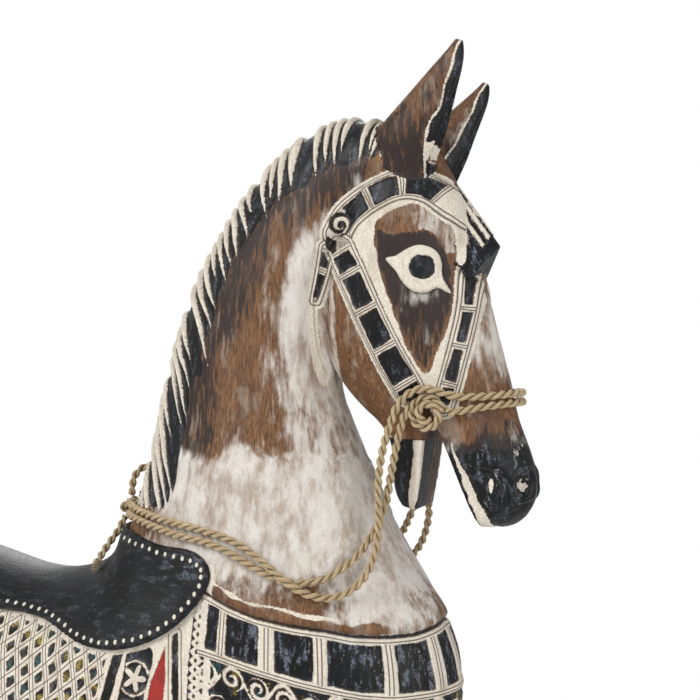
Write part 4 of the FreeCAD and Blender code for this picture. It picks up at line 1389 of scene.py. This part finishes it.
def scrolls(across, down):
    """How far inside a pattern of spirals on wavy stems each place is."""
    wide, high = 15.5, 17.0
    row = np.floor(down / high)
    column = np.floor(across / wide + 0.5 * row)
    middle_across = (column + 0.5 - 0.5 * row) * wide
    own = lumps(places(column * 5.3, row * 7.1), 1.0, 106)
    gap_across = across - middle_across
    gap_down = down - (row + 0.5) * high - 2.0 * own
    hand = np.where((column + row) % 2 == 0, 1, -1)
    far = np.hypot(gap_across, gap_down)
    turn = (np.arctan2(gap_down, gap_across * hand) + 3 * own) % (2 * np.pi)
    ring = to_spiral(far, turn, 4.2)
    spiral = only((far < 7.0) & (far > 1.0), 0.95 - ring)
    wave = (row + 0.5) * high + 7.6 * np.sin(2 * np.pi * across / (2 * wide) + row * np.pi / 2)
    stem = 0.9 - np.abs(down - wave) * 0.62
    return np.maximum(spiral, only(far > 6.4, stem))


def carve_caparison(skin, spots, height):
    """The cloth under the saddle: a lattice of double lines, and an upright border in front of it."""
    points = skin.points
    x, z = spots.T
    sideways = np.abs(points[:, 1])
    under = inside(spots, curve(SADDLE_SIDE), reach=400)
    flank = (sideways > 30) & (z < 475) & (x < 100)
    below = only(flank, -under)
    drop = np.minimum(below - 1.0, z - CLOTH_FLOOR)
    bend = 0.7 * lumps(points, 13.0, 111)

    weave_a = (-math.sin(WEAVE_RISE) * x + math.cos(WEAVE_RISE) * z + bend) / WEAVE_PITCH[0]
    weave_b = (-math.sin(WEAVE_STEEP) * x + math.cos(WEAVE_STEEP) * z - bend) / WEAVE_PITCH[1]
    leaning = np.interp(z, [335, 380, 404, 428], [28, 31, 35, 39.5]) - 4.6
    cloth = only(flank, np.min([drop, x - CLOTH_BACK, leaning - x], axis=0))
    to_a = np.abs(weave_a % 1 - 0.5) * WEAVE_PITCH[0]
    to_b = np.abs(weave_b % 1 - 0.5) * WEAVE_PITCH[1]
    cell = np.minimum(to_a - 2.2, to_b - 2.4) + 0.6 * lumps(points, 3.2, 112)
    cell = np.minimum(cell, cloth - 3.2)
    skin.values["weave_a"], skin.values["weave_b"], skin.values["cloth"] = weave_a, weave_b, cloth
    over(skin, "cream", 2.5, cloth > 0)
    repaint(skin, "cream", "black", cell)
    height -= 0.9 * smoothstep(-0.5, 0.8, cell)
    spot = lumps(points, 5.0, 113)
    put(skin, "gold", smoothstep(0.32, 0.6, spot), cloth > 0)
    put(skin, "green", smoothstep(-0.1, -0.4, spot), cloth > 0)

    border = only(flank & (x > leaning), drop)
    over(skin, "cream", np.minimum(border, 2.5))
    strip = only(border > 0.5, 3.3 - np.abs(off_line(spots, BLACK_STRIP)))
    panel = only(border > 0.5, within(spots, FLOWER_PANEL))
    stripe = only(border > 2, 2.0 - np.abs(off_line(spots, DARK_STRIPE)))
    diamond = only(border > 2, inside(spots, np.array(LOZENGE, float)))
    petals = np.full(len(x), OUTSIDE)
    for index, middle in enumerate(FLOWERS):
        gap = spots - np.array(middle)
        far = np.hypot(*gap.T)
        angle = np.arctan2(gap[:, 1], gap[:, 0]) + index
        petals = np.maximum(petals, 8.4 * (0.66 + 0.34 * np.cos(5 * angle)) - far)
        petals = np.maximum(petals, 0.9 - np.abs(far - 9.8))
    petals = np.minimum(petals, panel - 0.6)
    dark = np.maximum.reduce([strip, np.minimum(panel, 0.2 - petals), stripe]) + 0.4 * lumps(points, 3, 114)
    without(skin, "cream", dark + 0.1)
    without(skin, "cream", diamond + 0.1)
    over(skin, "black", dark, border > 0)
    over(skin, "red", diamond, border > 0)
    height -= 0.9 * smoothstep(-0.5, 0.8, np.maximum(dark, diamond))
    veins = np.abs(np.sin(2.5 * lumps(points, 4.0, 115) * np.pi))
    height += 0.3 * np.where(petals > 0, veins, 0)

    away, along = beside(spots, curve(BRAID))
    swing = 2.5 * np.sin(2 * np.pi * along / 10)
    strands = 1.25 - np.minimum(np.abs(away - swing), np.abs(away + swing)) * 0.85
    plait = only(flank & (np.abs(away) < 5.2) & (z > CLOTH_FLOOR), 4.9 - np.abs(away))
    over(skin, "black", plait)
    without(skin, "cream", only(plait > -1, plait))
    strands = np.minimum(strands, plait)
    repaint(skin, "black", "cream", strands)
    height += 1.3 * smoothstep(-0.8, 0.6, strands) - 0.6 * smoothstep(-0.3, 0.5, plait)

    lines = np.abs(off_line(spots, DARK_STRIPE)) - 4.2
    put(skin, "rim", lines, (border > 0) & (plait < -0.5))
    hem = only(flank & (x > CLOTH_BACK), 2.4 - np.abs(z - CLOTH_FLOOR - 1.5))
    back = only(flank & (z > CLOTH_FLOOR) & (below > 0), 3.6 - np.abs(x - CLOTH_BACK))
    edging = np.maximum(hem, back)
    over(skin, "cream", edging)
    without(skin, "black", edging + 0.2)
    height += 0.8 * smoothstep(-0.5, 0.6, edging)
    rolled = only(flank, 2.0 - np.abs(below - 1.2))
    over(skin, "cream", rolled)
    without(skin, "black", rolled)


def paint_body(skin, spots):
    """Chalk over brown, and scratches in the black."""
    x, z = spots.T
    fore_leg = smoothstep(330, 300, z) * smoothstep(60, 130, x)
    skin.values["wash"] = body_wash(skin.points) - 0.12 * fore_leg
    skin.values["scuffs"] = np.full(len(x), 1.3)


def hindpart(shoulders):
    """The trunk, legs and tail, carved as one skin; the painted sides and chest are made finer."""
    skin = skin_round([*HIND_NODES, *HIND_DOWELS], HIND_VOXEL, 2)
    owner = share_out(skin, HIND_NODES)
    middle = skin.points[skin.quads].mean(1)
    under = inside(middle[:, [0, 2]], curve(SADDLE_SIDE), reach=400)
    fine = (owner == 0) & (middle[:, 2] > CLOTH_FLOOR - 8) & (middle[:, 2] < SHOULDER_CUT)
    fine &= (middle[:, 0] > CLOTH_BACK - 8) & ((under < 5) | (middle[:, 0] > 100))
    wide = fine
    for _ in range(2):
        wide = skin.points_of(wide)[skin.quads].any(1)
    close = refined(skin.part(wide))
    close.points = close.average(close.points, 2)
    for surface in (skin, close):
        blank_paint(surface)
        spots = surface.points[:, [0, 2]]
        height = np.zeros(len(surface.points))
        soft_shape(surface, height)
        paint_body(surface, spots)
        carve_caparison(surface, spots, height)
        carve_collar(surface, height)
        if surface is skin:
            carve_legs_and_tail(skin, owner, height)
        settle(surface, height)
        meet(surface, shoulders)

    fine_parts = np.tile(fine[wide], 4)
    close_middle = close.points[close.quads].mean(1)
    for name, keep in (("chest", close_middle[:, 0] > 98), ("flanks", close_middle[:, 0] <= 98)):
        piece = close.part(fine_parts & keep)
        trim_level(piece, SHOULDER_CUT, HIND_VOXEL)
        piece_of_skin(f"carved_{name}", piece, "trunk", CLOTH_WOOD, caps=False)
    rest = skin.part((owner == 0) & ~fine & (middle[:, 2] < SHOULDER_CUT))
    trim_level(rest, SHOULDER_CUT, HIND_VOXEL)
    piece_of_skin("carved_trunk", rest, "trunk", LENGTHWISE_WOOD, caps=False)
    for index, node in enumerate(HIND_NODES[1:6], start=1):  # the legs and the tail
        piece_of_skin(f"carved_{node}", skin.part(owner == index), node, UPRIGHT_WOOD)


def carve_legs_and_tail(skin, owner, height):
    """Painted hooves with a cut line over them, and a tail of long strands."""
    points = skin.points
    z = points[:, 2]
    in_leg = skin.points_of((owner >= 1) & (owner <= 4))  # owners are places in HIND_NODES
    crown = 26 + 1.2 * lumps(points, 12, 131)
    over(skin, "black", crown - z, in_leg)
    cut = only(in_leg, 1.3 - np.abs(z - crown))
    height -= 1.1 * smoothstep(-0.8, 0.8, cut)
    in_tail = skin.points_of(owner == 5)
    middle_x = np.interp(z, [212, 262, 316, 370, 420], [-268, -265, -264, -264, -260])
    angle = np.arctan2(points[:, 1], points[:, 0] - middle_x)
    wave = angle * 9 / (2 * np.pi) + 0.55 * np.sin(z / 34) + 0.3 * lumps(points, 40, 132)
    ridge = np.abs(wave % 1 - 0.5)
    height += np.where(in_tail, 1.9 * smoothstep(0.45, 0.1, ridge) - 1.0, 0)
    over(skin, "black", (ridge - 0.26) * 8 + 0.4, in_tail)
    over(skin, "cream", (0.20 - ridge) * 8 + 0.5 * lumps(points, 14, 133), in_tail)


def saddle():
    """A black saddle with a dotted line of raised cream paint inside its edge."""
    skin = skin_round(["saddle"], SADDLE_VOXEL, 2)
    blank_paint(skin)
    points = skin.points
    height = 0.25 * lumps(points, 24.0, 141) + 0.10 * lumps(points * (0.5, 1, 1), 6.0, 142)
    over(skin, "black", 3.0)
    corner = blob(points[:, [0, 2]], (80, 474), 22, 12)
    skin.values["scuffs"] = 0.45 + 1.2 * corner + 0.25 * lumps(points, 16.0, 143)
    settle(skin, height)
    tree = BVHTree.FromPolygons(skin.points.tolist(), skin.quads.tolist())
    points, quads = [skin.points], [skin.quads]
    for side in (-1, 1):
        for spot in dots_along_edge():
            place, facing, _, _ = tree.ray_cast((spot[0], side * 200, spot[1]), (0, -side, 0))
            if place is None or facing[2] < -0.5:
                continue
            turn = facing.to_track_quat("Z", "Y")
            dome, caps = paint_dot(turn, place, 1.10 + 0.15 * float(random.random()))
            quads.append(caps + sum(len(p) for p in points))
            points.append(dome)
    count = len(skin.points)
    whole = Skin(np.vstack(points), np.vstack(quads))
    for label, value in skin.values.items():
        dotted = np.zeros((len(whole.points) - count, *value.shape[1:]))
        whole.values[label] = np.concatenate([value, dotted])
    for label, value in (NO_PAINT | {"cream": 4.0}).items():
        whole.values[label][count:] = value
    whole.values["normals"][count:] = whole.normals()[count:]
    piece_of_skin("carved_saddle", whole, "saddle", LENGTHWISE_WOOD, caps=False)


def dots_along_edge():
    """Side-view places about 6.6 mm apart, a little inside the saddle's edge."""
    line = curve(SADDLE_SIDE[:-1], steps=20)
    run = np.diff(line, axis=0)
    length = np.hypot(*run.T)
    along = np.concatenate([[0], np.cumsum(length)])
    dots = []
    for at in np.arange(30, along[-1] - 4, 6.6):
        index = np.searchsorted(along, at) - 1
        part = (at - along[index]) / length[index]
        inward = np.array([run[index, 1], -run[index, 0]]) / length[index]
        dots.append(line[index] + run[index] * part + inward * (4.2 + 0.5 * float(random.random())))
    return dots


def paint_dot(turn, place, size):
    """A small oval dome of thick paint, in quads."""
    rings = [(0.45, 0.55), (0.85, 0.32), (1.0, -0.1)]
    points = [(0, 0, 0.62)]
    for wide, high in rings:
        for k in range(8):
            angle = math.tau * k / 8
            points.append((1.05 * wide * math.cos(angle), 1.35 * wide * math.sin(angle), high))
    quads = [[0, 1 + k, 1 + (k + 1) % 8, 1 + (k + 2) % 8] for k in (0, 2, 4, 6)]
    for ring in (0, 1):
        first = 1 + 8 * ring
        for k in range(8):
            following = (k + 1) % 8
            quads.append([first + k, first + 8 + k, first + 8 + following, first + following])
    placed = [np.array(turn @ Vector(p)) * size + np.array(place) for p in points]
    return np.array(placed), np.array(quads)


def bare_dowels():
    """Turned hardwood for the dowels inside the joints."""
    paint = Paint("dowel_wood")
    fibre = paint.noise(0.6, stretch=(1, 1, 9), detail=4.0)
    ring = paint.noise(3.5, stretch=(1, 1, 5), offset=4.0)
    wood = paint.mix(paint.between(fibre, 0.3, 0.7), (0.36, 0.21, 0.10), (0.56, 0.38, 0.21))
    wood = paint.tint(wood, ring, 0.5, 0.75, 0.5, (0.28, 0.15, 0.07))
    material = paint.finish(wood, paint.between(fibre, 0.2, 0.8, 0.5, 0.7), fibre, 0.2, 0.6)
    for entry in frame["record"]["subparts"]:
        if entry["material_slot"] == "dowel_wood":
            dowels = frame["nodes"][entry["node"]]
            dowels.data.materials.clear()
            dowels.data.materials.append(material)


hindpart(forepart())
saddle()
bare_dowels()


# ------------------------------------------------------------------ camera, light and floor
CAMERA_TURN = 20  # degrees from straight at the horse's right side, towards its face
CAMERA_AIM = (162, 0, 603)
CAMERA_DISTANCE = 750
CAMERA_LENS = 62
FLOOR_RADIUS = 1.25  # metres


def set_camera():
    """A camera beside the horse's neck, turned a little towards its face."""
    data = bpy.data.cameras.new("camera")
    data.lens = CAMERA_LENS
    data.sensor_width = 36
    data.clip_end = 20
    camera = in_scene("camera", data)
    turn = math.radians(CAMERA_TURN)
    back = Vector((math.sin(turn), -math.cos(turn), 0))
    camera.location = (Vector(CAMERA_AIM) + back * CAMERA_DISTANCE) * MM
    camera.rotation_euler = (-back).to_track_quat("-Z", "Y").to_euler()
    bpy.context.scene.camera = camera


def soft_light(name, place, aim, width, power):
    """A square area light in metres, aimed at a point."""
    data = bpy.data.lights.new(name, "AREA")
    data.size = width
    data.energy = power
    lamp = in_scene(name, data)
    lamp.location = place
    lamp.rotation_euler = (Vector(aim) - Vector(place)).to_track_quat("-Z", "Y").to_euler()


def set_light():
    """Even white surroundings, a broad key from above the camera's left and a weaker fill from the right."""
    world = bpy.data.worlds.new("white_room")
    world.use_nodes = True
    tree = world.node_tree
    tree.nodes.clear()
    seen, given = (tree.nodes.new("ShaderNodeBackground") for _ in range(2))
    for background, strength in ((seen, 1.0), (given, 0.50)):
        background.inputs["Strength"].default_value = strength
        background.inputs["Color"].default_value = (1, 1, 1, 1)
    ray = tree.nodes.new("ShaderNodeLightPath")
    choose = tree.nodes.new("ShaderNodeMixShader")
    output = tree.nodes.new("ShaderNodeOutputWorld")
    tree.links.new(ray.outputs["Is Camera Ray"], choose.inputs[0])
    tree.links.new(given.outputs[0], choose.inputs[1])
    tree.links.new(seen.outputs[0], choose.inputs[2])
    tree.links.new(choose.outputs[0], output.inputs["Surface"])
    bpy.context.scene.world = world
    soft_light("key", (-0.9, -1.9, 1.9), (0.1, 0, 0.5), 1.3, 42)
    soft_light("fill", (1.9, -1.3, 0.9), (0.1, 0, 0.5), 1.4, 20)
    soft_light("back", (-0.6, 2.0, 1.6), (0.1, 0, 0.5), 1.4, 26)
    bpy.context.scene.view_settings.view_transform = "Standard"


def set_floor():
    """A pale round floor that fades into the white surroundings at its edge."""
    paint = Paint("pale_floor", Roughness=0.9)
    shade = paint.noise(40, detail=2.0)
    paint.give(paint.surface, {"Base_Color": paint.mix(shade, (0.90, 0.90, 0.90), (0.94, 0.94, 0.94))})
    far = paint.node("VectorMath", {"operation": "LENGTH"}, {0: paint.place.outputs["Object"]})
    fade = paint.between(far.outputs["Value"], FLOOR_RADIUS * 0.45, FLOOR_RADIUS * 0.98, 1.0, 0.0)
    paint.give(paint.surface, {"Alpha": fade})
    work = bmesh.new()
    bmesh.ops.create_circle(work, cap_ends=True, segments=96, radius=FLOOR_RADIUS)
    mesh = bpy.data.meshes.new("floor")
    work.to_mesh(mesh)
    work.free()
    mesh.materials.append(paint.material)
    in_scene("floor", mesh)


set_camera()
set_light()
set_floor()
